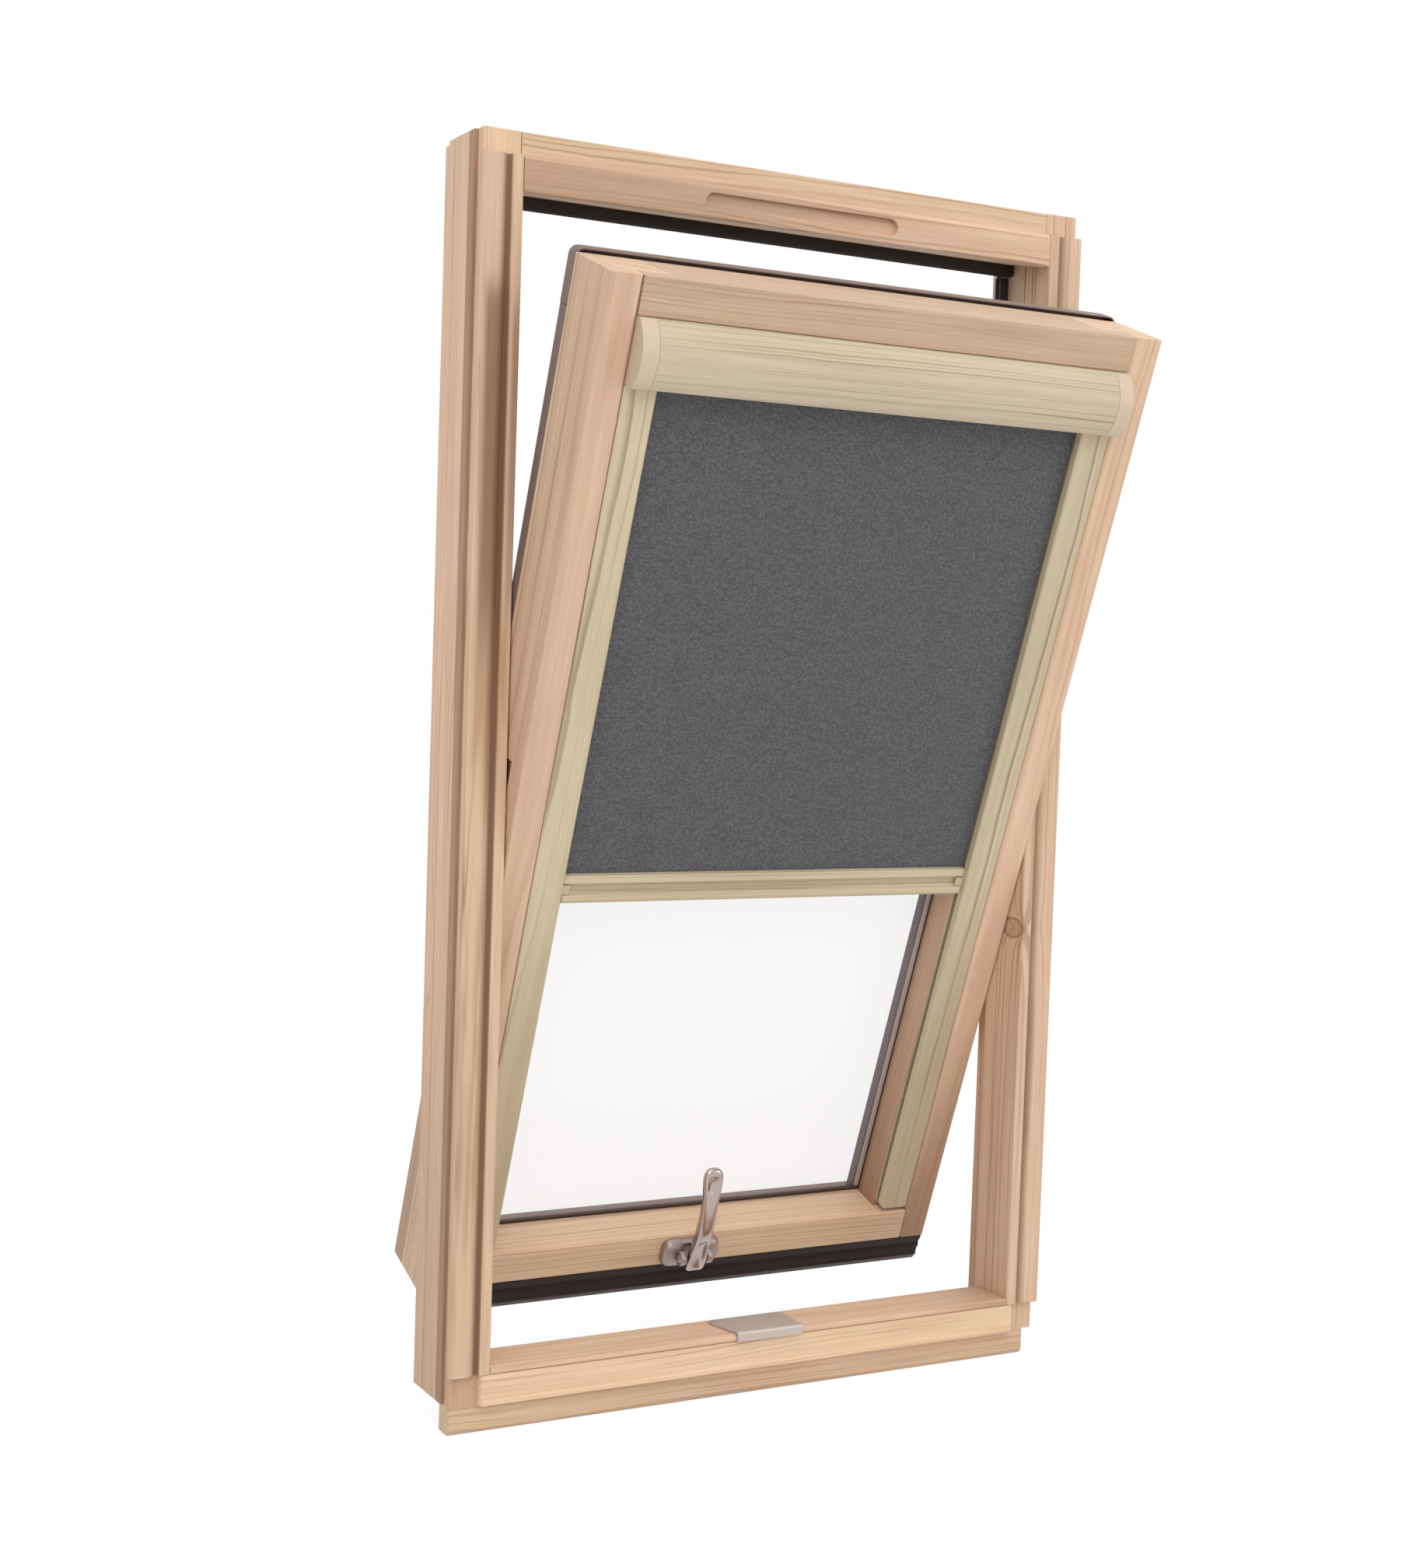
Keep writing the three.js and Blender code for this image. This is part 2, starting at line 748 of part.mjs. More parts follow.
function sideCladding() {
  const outer = -sashHalf;
  const wall = outer + cladding.wall;
  const plan = [
    [outer, coverFront],
    [wall, coverFront],
    [wall, coverBack],
    [-lipAt(coverBack) - cladding.lipWidth, coverBack],
    [-lipInner - cladding.lipWidth, lipFront],
    [-lipInner, lipFront],
    [-lipAt(cladding.back), cladding.back],
    [outer, cladding.back, cladding.round],
  ];
  const past = fitting.overrun;
  return upright(plan, -notchHalf, coverSideTop - fitting.seat)
    .subtract(block(outer - past, wall + past, coverFront - past, coverBack - fitting.seat,
      -notchHalf - past, notchHalf));
}

function sashBackStrip() {
  const plan = [
    [-sashHalf, coverFront],
    [-rebateHalf, coverFront],
    [-lipInner - cladding.sealWidth, lipFront],
    [-lipInner, lipFront],
    [-lipAt(sash.stripBack), sash.stripBack],
    [-sashHalf, sash.stripBack, sash.arris],
  ];
  const low = -sash.below - sash.tailDrop;
  const past = fitting.overrun;
  return upright(plan, low, -notchHalf - fitting.seat)
    .subtract(block(-sashHalf - past, -lipInner + past, lipFront - past, coverFront, low - past,
      glassBottom - sash.lowRebate + fitting.seat));
}

function topCladding() {
  const top = sash.above + cladding.topRise;
  const wall = cladding.wall;
  const past = fitting.overrun;
  const face = [
    [-sashHalf, coverSideTop],
    [sashHalf, coverSideTop],
    [sashHalf, top, cladding.corner],
    [-sashHalf, top, cladding.corner],
  ];
  const hollow = [
    [wall - sashHalf, coverSideTop - past],
    [sashHalf - wall, coverSideTop - past],
    [sashHalf - wall, top - wall, cladding.corner - wall],
    [wall - sashHalf, top - wall, cladding.corner - wall],
  ];
  return facing(face, coverFront, cladding.back)
    .subtract(facing(hollow, coverFront - past, coverBack));
}

// An open channel under the panes, between the back strips.
function bottomCladding() {
  const wall = cladding.wall;
  const front = coverFront + wall;
  const past = fitting.overrun;
  const plan = [
    [fitting.seat - lipAt(coverFront), coverFront],
    [lipAt(coverFront) - fitting.seat, coverFront],
    [lipAt(cladding.back) - fitting.seat, cladding.back],
    [fitting.seat - lipAt(cladding.back), cladding.back],
  ];
  const top = glassBottom - sash.lowRebate - fitting.seat;
  const reach = lipAt(coverFront) - cladding.sealWidth;
  return upright(plan, -sash.below, top)
    .subtract(block(-reach, reach, front, coverBack, -sash.below - past, top - wall));
}

function outerSeal() {
  const front = outerPaneBack + fitting.seat;
  const reach = lipInner + cladding.sealWidth;
  const low = coverSideTop + fitting.seat;
  const high = low + cladding.sealWidth;
  const leg = block(-reach, -lipInner, front, front + cladding.sealDepth, paneBottom, high);
  return leg.add(mirrored(leg)).add(block(-reach, reach, front, coverBack - fitting.seat, low, high));
}

const dripTop = -sash.below - fitting.seat;
const dripLow = dripTop - drip.height;

function dripProfile() {
  const reach = ledgeHalf - fitting.seat;
  const lipBack = drip.thickness - drip.front;
  const front = -drip.flangeFront;
  const back = front + drip.flangeThickness;
  const middle = (dripTop - drip.brow + dripLow) / 2;
  const lipSide = [
    [-drip.front, dripTop],
    [-drip.front, dripTop - drip.brow],
    [drip.hollow - drip.front, middle],
    [-drip.front, dripLow, drip.round],
    [lipBack, dripLow, drip.round],
    [lipBack, dripTop],
  ];
  return level(lipSide, -sashHalf, sashHalf)
    .add(block(-reach, reach, -drip.front, back, dripTop - drip.web, dripTop))
    .add(block(-reach, reach, front, back, dripTop - drip.flangeDrop, dripTop));
}

function dripSealLip() {
  const front = drip.hollow - drip.front;
  const top = dripLow - fitting.seat;
  const low = top - dripSeal.height;
  const ridge = top - dripSeal.height * dripSeal.ridgeShare;
  const side = [
    [front, top],
    [front, ridge + dripSeal.ridge],
    [front - dripSeal.ridge, ridge],
    [front, ridge - dripSeal.ridge],
    [front + dripSeal.taper, low],
    [front + dripSeal.thickness, low],
    [front + dripSeal.thickness, low + dripSeal.slope],
    [front + dripSeal.thickness + dripSeal.taper, top],
  ];
  return level(side, -sashHalf, sashHalf);
}

function sashPivotPlate() {
  const outer = -sashHalf;
  const plateHalf = pivot.sashPlateHeight / 2;
  const reach = fitting.sashSide + pivot.plateThickness + pivot.pinReach;
  return block(outer, outer + pivot.plateThickness, -pivot.sashPlateFront, coverBack - fitting.seat,
    -plateHalf, plateHalf)
    .add(level(circle(0, 0, pivot.pinRadius), outer - reach, outer));
}

// Blind, on the sash

const coverCurve = new THREE.SplineCurve(coverShares.map(([up, out]) => new THREE.Vector2(
  -sash.front - cassette.bulge * out, cassetteBottom + cassette.height * up,
)));
const coverPath = coverCurve.getPoints(steps.spline);

function blindCover() {
  const back = fitting.seat - sash.ledgeFront - cassette.backWall - fitting.seat * 2;
  const wall = cassette.wall;
  const high = glassTop - fitting.seat;
  const low = cassetteBottom;
  const inner = coverPath.map((point, k) => {
    const along = coverCurve.getTangent(k / steps.spline);
    return [
      point.x - along.y * wall,
      THREE.MathUtils.clamp(point.y + along.x * wall, low + wall, high - wall),
    ];
  });
  const side = [
    [back, high],
    ...coverPath.map((point) => [point.x, Math.min(point.y, high)]),
    [-cassette.slotFront, low],
    [-cassette.slotFront, low + wall],
    ...inner.reverse(),
    [back, high - wall],
  ];
  return level(side, -coverHalf, coverHalf);
}

function blindBackRail() {
  const back = -sash.ledgeFront - fitting.seat;
  return block(-coverHalf, coverHalf, back - cassette.backWall, back,
    cassetteBottom + cassette.wall, glassTop - fitting.seat);
}

function blindCap() {
  const high = glassTop - fitting.seat;
  const back = -sash.ledgeFront - fitting.seat;
  const side = [
    [back, high],
    ...coverPath.map((point) => [point.x, Math.min(point.y, high)]),
    [back, cassetteBottom],
  ];
  const outer = -channelOuter;
  const inner = outer + cassette.capWidth;
  const bore = (roller.pinRadius + fitting.running) / Math.cos(Math.PI / steps.ring);
  const depth = roller.pinReach + roller.endGap;
  return level(side, outer, inner)
    .subtract(level(circle(rollerY, rollerZ, bore), inner - depth, inner + fitting.overrun));
}

function blindChannel() {
  const outer = -channelOuter;
  const inner = -channelInner;
  const back = -sash.ledgeFront - fitting.seat;
  const past = fitting.overrun;
  const plan = [
    [outer, -channel.front, channel.outerRound],
    [inner, -channel.front, channel.innerRound],
    [inner, -channel.slotFront],
    [inner - channel.slotDepth, -channel.slotFront],
    [inner - channel.slotDepth, -channel.slotBack],
    [inner, -channel.slotBack],
    [inner, back],
    [outer, back],
  ];
  const face = [
    [outer, -channel.bottom, channel.footRound / 2],
    [inner, -channel.bottom, channel.footRound],
    [inner, channelTop],
    [outer, channelTop],
  ];
  return upright(plan, -channel.bottom, channelTop)
    .intersect(facing(face, -channel.front - past, back + past));
}

function blindBrush() {
  const inner = -channelInner - fitting.seat;
  return block(inner - brush.width, inner, brushBack - brush.depth, brushBack,
    channel.footRound - channel.bottom, channelTop);
}

function rollerTube() {
  const reach = coverHalf - roller.endGap - roller.rimThickness - fitting.seat;
  const bore = roller.tubeRadius - roller.tubeWall;
  return level(circle(rollerY, rollerZ, roller.tubeRadius), -reach, reach)
    .subtract(level(circle(rollerY, rollerZ, bore), -reach - fitting.overrun, reach + fitting.overrun));
}

const clothHalf = channelInner + cloth.slotReach;

function fabricRoll() {
  const bore = (roller.tubeRadius + fitting.running) / Math.cos(Math.PI / steps.ring);
  return level(circle(rollerY, rollerZ, roller.rollRadius - cloth.thickness), -clothHalf, clothHalf)
    .subtract(level(circle(rollerY, rollerZ, bore), -clothHalf - fitting.overrun,
      clothHalf + fitting.overrun));
}

function rollerPlug() {
  const end = roller.endGap - coverHalf;
  const rim = end + roller.rimThickness;
  const plugRadius = (roller.tubeRadius - roller.tubeWall - fitting.running) * Math.cos(Math.PI / steps.ring);
  return level(circle(rollerY, rollerZ, plugRadius), rim, rim + roller.plugDepth)
    .add(level(circle(rollerY, rollerZ, roller.rimRadius), end, rim))
    .add(level(circle(rollerY, rollerZ, roller.pinRadius), end - roller.endGap - roller.pinReach, end));
}

function blindFabric() {
  return block(-clothHalf, clothHalf, clothY - cloth.thickness / 2, clothY + cloth.thickness / 2,
    fitting.seat - bar.top, rollerZ);
}

function hemBar() {
  const low = -bar.top - bar.height;
  const upperFront = bar.upperInset - bar.front;
  const grooveTop = -bar.top - bar.upperHeight;
  const grooveLow = low + bar.lowerHeight;
  const middle = (grooveTop + grooveLow) / 2;
  const hollow = Array.from({ length: steps.cove + 1 }, (_, k) => {
    const angle = (Math.PI * k) / steps.cove;
    return [
      upperFront + bar.grooveDepth * Math.sin(angle),
      middle + ((grooveTop - grooveLow) / 2) * Math.cos(angle),
    ];
  });
  const side = [
    [-bar.back, -bar.top],
    [upperFront, -bar.top, bar.round],
    ...hollow,
    [-bar.front, grooveLow],
    [-bar.front, low, bar.lowerRound],
    [-bar.back, low],
  ];
  return level(side, -barHalf, barHalf);
}

function barClip() {
  const start = -barHalf - fitting.seat;
  const outer = start - clip.plate;
  const middle = -bar.top - bar.height / 2;
  const tongueLow = middle - clip.tongueHeight / 2;
  const tongueHigh = middle + clip.tongueHeight / 2;
  const back = -sash.ledgeFront - fitting.seat;
  const plate = rectangle(-clip.lugFront, back, middle - bar.height / 2, middle + bar.height / 2, bar.round);
  return level(plate, outer, start)
    .add(block(outer - clip.tongue, outer, brushBack + fitting.seat, -channel.slotBack - fitting.seat,
      tongueLow, tongueHigh))
    .add(facing(rectangle(start - clip.plate / 2, start + clip.lug, middle - clip.tongueHeight / 2 + bar.round,
      middle + clip.tongueHeight / 2 - bar.round, clip.plate), -clip.lugFront, -clip.lugBack));
}

// Handle, on the sash's bottom rail

function handleBase() {
  const back = -sash.front - fitting.seat;
  const front = back - handle.thickness;
  const reach = handleHalf;
  const low = handleTop - handle.height;
  const past = fitting.overrun;
  const side = [
    [front, low, handle.round / 2],
    [back, low],
    [back, handleTop],
    [front, handleTop, handle.round],
  ];
  const face = rectangle(-reach, reach, low, handleTop, handle.cornerRound);
  const ear = level(circle(leverY, leverZ, handle.earRadius), handle.notchHalf,
    handle.notchHalf + handle.earWidth);
  const bore = (handle.pinRadius + fitting.running) / Math.cos(Math.PI / steps.ring);
  return level(side, -reach, reach)
    .intersect(facing(face, front - past, back + past))
    .add(ear)
    .add(mirrored(ear))
    .subtract(block(-handle.notchHalf, handle.notchHalf, front - past, back + past, low - past,
      handleTop - handle.bridge))
    .subtract(level(circle(leverY, leverZ, bore), -reach, reach));
}

function handlePin() {
  const reach = handle.notchHalf + handle.earWidth + handle.pinEnd;
  return level(circle(leverY, leverZ, handle.pinRadius), -reach, reach);
}

function handleScrew() {
  const front = -sash.front - fitting.seat - handle.thickness;
  const x = handle.flange / 2 - handleHalf;
  const z = handleTop - handle.height / 2;
  return facing(circle(x, z, handle.screwRadius), front - fitting.seat - handle.screwHeight,
    front - fitting.seat);
}

function leverBody() {
  const at = (share) => leverZ + lever.above * share;
  const out = (share) => leverY - lever.swell * share + lever.faceSet;
  const front = new THREE.SplineCurve(leverSideShares.map(([s, f]) => new THREE.Vector2(out(f), at(s))));
  const back = new THREE.SplineCurve(leverSideShares.map(([s, , b]) => new THREE.Vector2(out(b), at(s))));
  const side = [
    ...back.getPoints(steps.spline).map(({ x, y }) => [x, y]),
    ...front.getPoints(steps.spline).reverse().map(({ x, y }) => [x, y]),
  ];
  const edge = new THREE.SplineCurve(leverFaceShares.map(([s, w]) => new THREE.Vector2(
    lever.headHalf * w, at(s),
  ))).getPoints(steps.spline);
  const face = [
    ...edge.map(({ x, y }) => [x, y]),
    ...edge.slice().reverse().map(({ x, y }) => [-x, y]),
  ];
  const past = fitting.overrun;
  const farFront = leverY - lever.swell * 2;
  const farBack = leverY + lever.swell;
  const tip = rectangle(-lever.headHalf - past, lever.headHalf + past, at(leverFaceShares[0][0]) - past,
    at(1), lever.tipRound);
  const trough = rectangle(-lever.channelHalf, lever.channelHalf, leverZ + lever.channelBottom,
    leverZ + lever.channelTop, lever.channelEnd);
  const bore = (handle.pinRadius + fitting.running) / Math.cos(Math.PI / steps.ring);
  return level(side, -lever.headHalf, lever.headHalf)
    .intersect(facing(face, farFront, farBack))
    .intersect(facing(tip, farFront, farBack))
    .add(level(circle(leverY, leverZ, lever.hubRadius), -lever.hubHalf, lever.hubHalf))
    .subtract(facing(trough, farFront, leverY - lever.channelFloor))
    .subtract(level(circle(leverY, leverZ, bore), -handleHalf, handleHalf));
}

const part = new THREE.Group();
part.name = "roof_window";
part.position.y = -lip.depth / 2;

const frame = new THREE.Group();
frame.name = "frame";
part.add(frame);
addPair(frame, "frame_stile", frameStile(), looks.pine);
addPair(frame, "frame_moulding", sideMoulding(), looks.pine);
addPiece(frame, "frame_head", frameHead(), looks.pine);
addPiece(frame, "frame_head_moulding", headMouldingBody(), looks.pine);
addPiece(frame, "frame_sill", frameSill(), looks.pine);
addPiece(frame, "frame_sill_moulding", sillMouldingBody(), looks.pine);
addPiece(frame, "frame_bottom_lip", bottomLip(), looks.pine);
addPiece(frame, "frame_head_gasket", headGasketBody(), looks.rubber);
addPair(frame, "frame_gasket", sideGasketBody(), looks.rubber);
addPair(frame, "frame_trim", sideTrim(), looks.aluminium);
addPiece(frame, "frame_trim_head", headTrim(), looks.aluminium);
addPair(frame, "frame_pivot_plate", framePivotPlate(), looks.nickel);
addPiece(frame, "striker_plate", strikerPlate(), looks.nickel);

const sashGroup = new THREE.Group();
sashGroup.name = "sash";
sashGroup.position.set(0, pivotY, pivot.z);
sashGroup.rotation.x = THREE.MathUtils.degToRad(pivot.restTilt);
part.add(sashGroup);
addPair(sashGroup, "sash_stile", sashStile(), looks.sashPine);
addPiece(sashGroup, "sash_top_rail", topRail(), looks.sashPine);
addPiece(sashGroup, "sash_bottom_rail", bottomRail(), looks.sashPine);
addPiece(sashGroup, "sash_pane_inner", pane(paneFront), looks.glass);
addPiece(sashGroup, "sash_pane_outer", pane(outerPaneFront), looks.glass);
addPiece(sashGroup, "sash_spacer", spacerFrame(), looks.aluminium);
addPiece(sashGroup, "sash_glazing_gasket", glazingGasket(), looks.rubber);
addPiece(sashGroup, "sash_glazing_bead", glazingBead(), looks.taupe);
addPair(sashGroup, "sash_cladding", sideCladding(), looks.taupe);
addPair(sashGroup, "sash_back_strip", sashBackStrip(), looks.sashPine);
addPiece(sashGroup, "sash_cladding_top", topCladding(), looks.taupe);
addPiece(sashGroup, "sash_cladding_bottom", bottomCladding(), looks.taupe);
addPiece(sashGroup, "sash_outer_seal", outerSeal(), looks.rubber);
addPiece(sashGroup, "sash_drip_profile", dripProfile(), looks.dripBrown);
addPiece(sashGroup, "sash_drip_seal", dripSealLip(), looks.rubber);
addPair(sashGroup, "sash_pivot", sashPivotPlate(), looks.nickel);
addPiece(sashGroup, "blind_cover", blindCover(), looks.foil);
addPiece(sashGroup, "blind_back_rail", blindBackRail(), looks.foil);
addPair(sashGroup, "blind_cap", blindCap(), looks.cap);
addPair(sashGroup, "blind_channel", blindChannel(), looks.foil);
addPair(sashGroup, "blind_brush", blindBrush(), looks.brush);
addPiece(sashGroup, "blind_fabric", blindFabric(), looks.fabric);

const rollerGroup = new THREE.Group();
rollerGroup.name = "roller";
sashGroup.add(rollerGroup);
addPiece(rollerGroup, "blind_tube", rollerTube(), looks.tube);
addPiece(rollerGroup, "blind_fabric_roll", fabricRoll(), looks.fabric);
addPair(rollerGroup, "blind_plug", rollerPlug(), looks.cap);

const barGroup = new THREE.Group();
barGroup.name = "hem_bar";
sashGroup.add(barGroup);
addPiece(barGroup, "blind_hem_bar", hemBar(), looks.foil);
addPair(barGroup, "blind_bar_clip", barClip(), looks.cap);

const handleGroup = new THREE.Group();
handleGroup.name = "handle";
handleGroup.position.x = -handle.aside;
sashGroup.add(handleGroup);
addPiece(handleGroup, "handle_base", handleBase(), looks.nickel);
addPiece(handleGroup, "handle_pin", handlePin(), looks.nickel);
addPair(handleGroup, "handle_screw", handleScrew(), looks.nickel);

const leverGroup = new THREE.Group();
leverGroup.name = "lever";
handleGroup.add(leverGroup);
addPiece(leverGroup, "handle_lever", leverBody(), looks.nickel);

export default part;
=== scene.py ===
import math
import random

import bmesh
import bpy
from mathutils import Matrix, Vector


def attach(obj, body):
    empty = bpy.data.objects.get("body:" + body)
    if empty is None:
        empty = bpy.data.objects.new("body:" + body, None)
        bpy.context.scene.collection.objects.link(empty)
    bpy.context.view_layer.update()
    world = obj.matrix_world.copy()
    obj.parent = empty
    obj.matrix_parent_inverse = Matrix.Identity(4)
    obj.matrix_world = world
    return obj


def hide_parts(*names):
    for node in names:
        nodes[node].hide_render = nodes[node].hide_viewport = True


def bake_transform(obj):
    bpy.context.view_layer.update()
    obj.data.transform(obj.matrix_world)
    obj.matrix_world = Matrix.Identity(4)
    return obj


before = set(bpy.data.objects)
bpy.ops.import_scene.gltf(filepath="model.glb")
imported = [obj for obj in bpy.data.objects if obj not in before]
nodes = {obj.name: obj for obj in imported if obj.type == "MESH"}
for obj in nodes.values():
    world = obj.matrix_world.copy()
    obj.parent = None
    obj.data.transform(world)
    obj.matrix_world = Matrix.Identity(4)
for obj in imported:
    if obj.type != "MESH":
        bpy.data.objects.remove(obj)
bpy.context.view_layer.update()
scene = bpy.context.scene

# Lengths in metres. The sash is tipped about its pivots, so its pieces are made upright
# (x right, y out of the room, z up, all from the pivot axis) and then put in place.
tilt = math.radians(19.9)
pivot = (0, 0.043, 0.6054)
sashPlace = Matrix.Translation(pivot) @ Matrix.Rotation(tilt, 4, "X")
# the pivot axis, in the heights of a finish that is laid out on the upright sash
pivotUp = pivot[2] * math.cos(tilt) - pivot[1] * math.sin(tilt)

# The photo's camera.
view = {
    "spot": (-1.08639, -1.85924, 0.71369),
    "ahead": (0.4791547, 0.8760200, -0.0547693),
    "up": (-0.0031783, 0.0641300, 0.9979365),
    "lens": 50.8895,
    "sensor": 36,
    "nearest": 0.05,
}


def setCamera():
    ahead, up = Vector(view["ahead"]).normalized(), Vector(view["up"]).normalized()
    right = ahead.cross(up).normalized()
    data = bpy.data.cameras.new("camera")
    data.sensor_fit = "VERTICAL"
    data.sensor_height = view["sensor"]
    data.lens = view["lens"]
    data.clip_start = view["nearest"]
    turn = Matrix((right, right.cross(ahead), -ahead)).transposed().to_4x4()
    eye = bpy.data.objects.new("camera", data)
    eye.matrix_world = Matrix.Translation(view["spot"]) @ turn
    scene.collection.objects.link(eye)
    scene.camera = eye


setCamera()
print("camera set")


# Shader building

class Flow:
    # one socket, with the operators that the finishes use
    def __init__(self, wiring, socket):
        self.wiring = wiring
        self.socket = socket

    def __add__(self, other):
        return self.wiring.sums("ADD", self, other)

    def __radd__(self, other):
        return self.wiring.sums("ADD", other, self)

    def __sub__(self, other):
        return self.wiring.sums("SUBTRACT", self, other)

    def __rsub__(self, other):
        return self.wiring.sums("SUBTRACT", other, self)

    def __mul__(self, other):
        return self.wiring.sums("MULTIPLY", self, other)

    def __rmul__(self, other):
        return self.wiring.sums("MULTIPLY", other, self)

    def __truediv__(self, other):
        return self.wiring.sums("DIVIDE", self, other)

    def __rtruediv__(self, other):
        return self.wiring.sums("DIVIDE", other, self)

    def __pow__(self, other):
        return self.wiring.sums("POWER", self, other)

    def output(self, name):
        return Flow(self.wiring, self.socket.node.outputs[name])

    def step(self, low, high):
        # 0 below low, 1 above high, smooth between
        return self.wiring.node("ShaderNodeMapRange", {"interpolation_type": "SMOOTHSTEP"},
                                {"Value": self, "From Min": low, "From Max": high})

    def band(self, low, full, ebb, high):
        # 1 from full to ebb, 0 outside low and high
        return self.step(low, full) * (1 - self.step(ebb, high))


class Wiring:
    # a node tree, with one method for any node and short ways to those used most
    def __init__(self, tree):
        self.tree = tree

    def node(self, kind, settings=None, inputs=None, out=0):
        made = self.tree.nodes.new(kind)
        for key, value in (settings or {}).items():
            setattr(made, key, value)
        for key, value in (inputs or {}).items():
            if isinstance(value, Flow):
                self.tree.links.new(value.socket, made.inputs[key])
            else:
                made.inputs[key].default_value = value
        return Flow(self, made.outputs[out])

    def sums(self, operation, *values):
        return self.node("ShaderNodeMath", {"operation": operation}, dict(enumerate(values)))

    def mix(self, share, first, second):
        # a Mix node has its colours at 6 and 7 and gives a colour at 2
        return self.node("ShaderNodeMix", {"data_type": "RGBA"}, {0: share, 6: first, 7: second}, 2)

    def noise(self, vector, scale, detail, rough=0.5):
        return self.node("ShaderNodeTexNoise", {}, {
            "Vector": vector, "Scale": scale, "Detail": detail, "Roughness": rough})

    def scaled(self, colour, share):
        if not isinstance(colour, Flow):
            colour = colour[:3]  # without its alpha
        return self.node("ShaderNodeVectorMath", {"operation": "SCALE"}, {
            0: colour, "Scale": share})

    def parts(self, vector):
        split = self.node("ShaderNodeSeparateXYZ", {}, {0: vector})
        return [split, split.output("Y"), split.output("Z")]


class Finish(Wiring):
    # a material, with the values that stay the same all over it
    def __init__(self, name, fixed):
        self.material = bpy.data.materials.new(name)
        self.material.use_nodes = True
        super().__init__(self.material.node_tree)
        self.shader = self.tree.nodes["Principled BSDF"]
        for socket, value in fixed.items():
            self.shader.inputs[socket].default_value = value

    def place(self, tipped=False):
        # where on the window, or on the sash as if it stood upright
        spot = self.node("ShaderNodeTexCoord", out="Object")
        if tipped:
            spot = self.node("ShaderNodeMapping", {}, {"Vector": spot, "Rotation": (-tilt, 0, 0)})
        return spot

    def grained(self, along, parts, seed, lengthwise, crosswise, detail=2.0, rough=0.5, shift=0.0):
        # noise drawn out along the grain
        stretch = [crosswise, crosswise, crosswise]
        stretch[along] = lengthwise
        spot = self.node("ShaderNodeCombineXYZ", {}, {
            i: parts[i] * stretch[i] + (seed + shift) * (i + 1) for i in range(3)})
        return self.noise(spot, 1.0, detail, rough)

    def link(self, socket, value):
        self.tree.links.new(value.socket, self.shader.inputs[socket])

    def relief(self, height, strength, distance):
        self.link("Normal", self.node("ShaderNodeBump", {}, {
            "Height": height, "Strength": strength, "Distance": distance}))


def srgb(red, green, blue):
    def linear(c):
        c /= 255
        return c / 12.92 if c <= 0.04045 else ((c + 0.055) / 1.055) ** 2.4
    return (linear(red), linear(green), linear(blue), 1)


# Pine: rings round a pith that lies outside the board, uneven in width, bent by noise,
# and calm in some places.
pine = {
    "peach": srgb(220, 184, 156),
    "straw": srgb(221, 191, 158),
    "pale": srgb(236, 208, 182),
    "late": srgb(168, 122, 90),
    "knot": srgb(146, 96, 66),
    # the colour of painted shade
    "shadeColour": srgb(140, 103, 76),
    "ringGap": 0.0041,
    "onset": 0.45,  # of the late wood, as a share of a ring
    "contrast": 0.62,
    "flame": 0.3,
    "bend": 0.024,
    "ripple": 0.0026,
}

# Noise drawn out along the grain: how often it changes in a metre, along and across, how
# fine and rough it is, and what is added to the board's seed.
streaks = {
    "bend": dict(lengthwise=1.9, crosswise=6.0, detail=1.0, rough=0.4),
    "ripple": dict(lengthwise=11.0, crosswise=45.0, shift=3.1),
    "patch": dict(lengthwise=2.6, crosswise=11.0, shift=9.2),
    "calm": dict(lengthwise=3.4, crosswise=22.0, detail=1.0, shift=1.7),
    "fibre": dict(lengthwise=14.0, crosswise=420.0, rough=0.6, shift=7.7),
    "streak": dict(lengthwise=3.0, crosswise=130.0, shift=5.3),
    "flame": dict(lengthwise=5.0, crosswise=70.0, rough=0.55, shift=12.4),
}

# What the rings and the streaks do to the colour. A pair is where a noise starts to show
# and where it shows fully.
noiseMiddle = 0.5
figure = {
    "surface": {"IOR": 1.45, "Specular IOR Level": 0.35},
    "years": 0.34,  # how often growth turns slow or fast, for each ring
    "drift": 2.6,  # how many rings that shifts
    "lateEnd": (0.88, 0.9, 1.0),  # where in a ring late wood is full, starts to fade, is gone
    "lateLeast": 0.12,  # the weakest ring, as a share of the strongest
    "calm": (0.34, 0.62),
    "calmLeast": 0.3,  # what stays of the rings where it is calm
    "patch": (0.3, 0.7),
    "patchLean": 0.3,  # how far a board's tone moves that
    "pale": (0.5, 0.75),
    "paleShare": 0.4,
    "flame": (0.5, 0.82),
    "streak": (0.5, 0.9),
    "streakShare": 0.2,
    "darkPatch": (0.5, 0.85),
    "darkPatchShare": 0.1,
    "fibreLeast": 0.88,
    "fibreShare": 0.24,
    "rough": 0.5,
    "roughSwing": 0.08,
    "bumpShares": (0.6, 0.4),  # of late wood and fibre
    "bump": dict(strength=0.12, distance=0.0004),
}

# A knot: how much shorter it is along the grain and how much longer into the board, then
# shares of its size, and last how dark it is.
knotForm = {
    "along": 1.15,
    "deep": 0.75,
    "wobble": 0.5,
    "push": 1.1,
    "ringGap": 0.34,
    "rim": (0.7, 0.95, 0.95, 1.2),
    "edge": (0.7, 1.1),
    "darkness": dict(core=0.2, rings=0.25, rim=0.6),
}


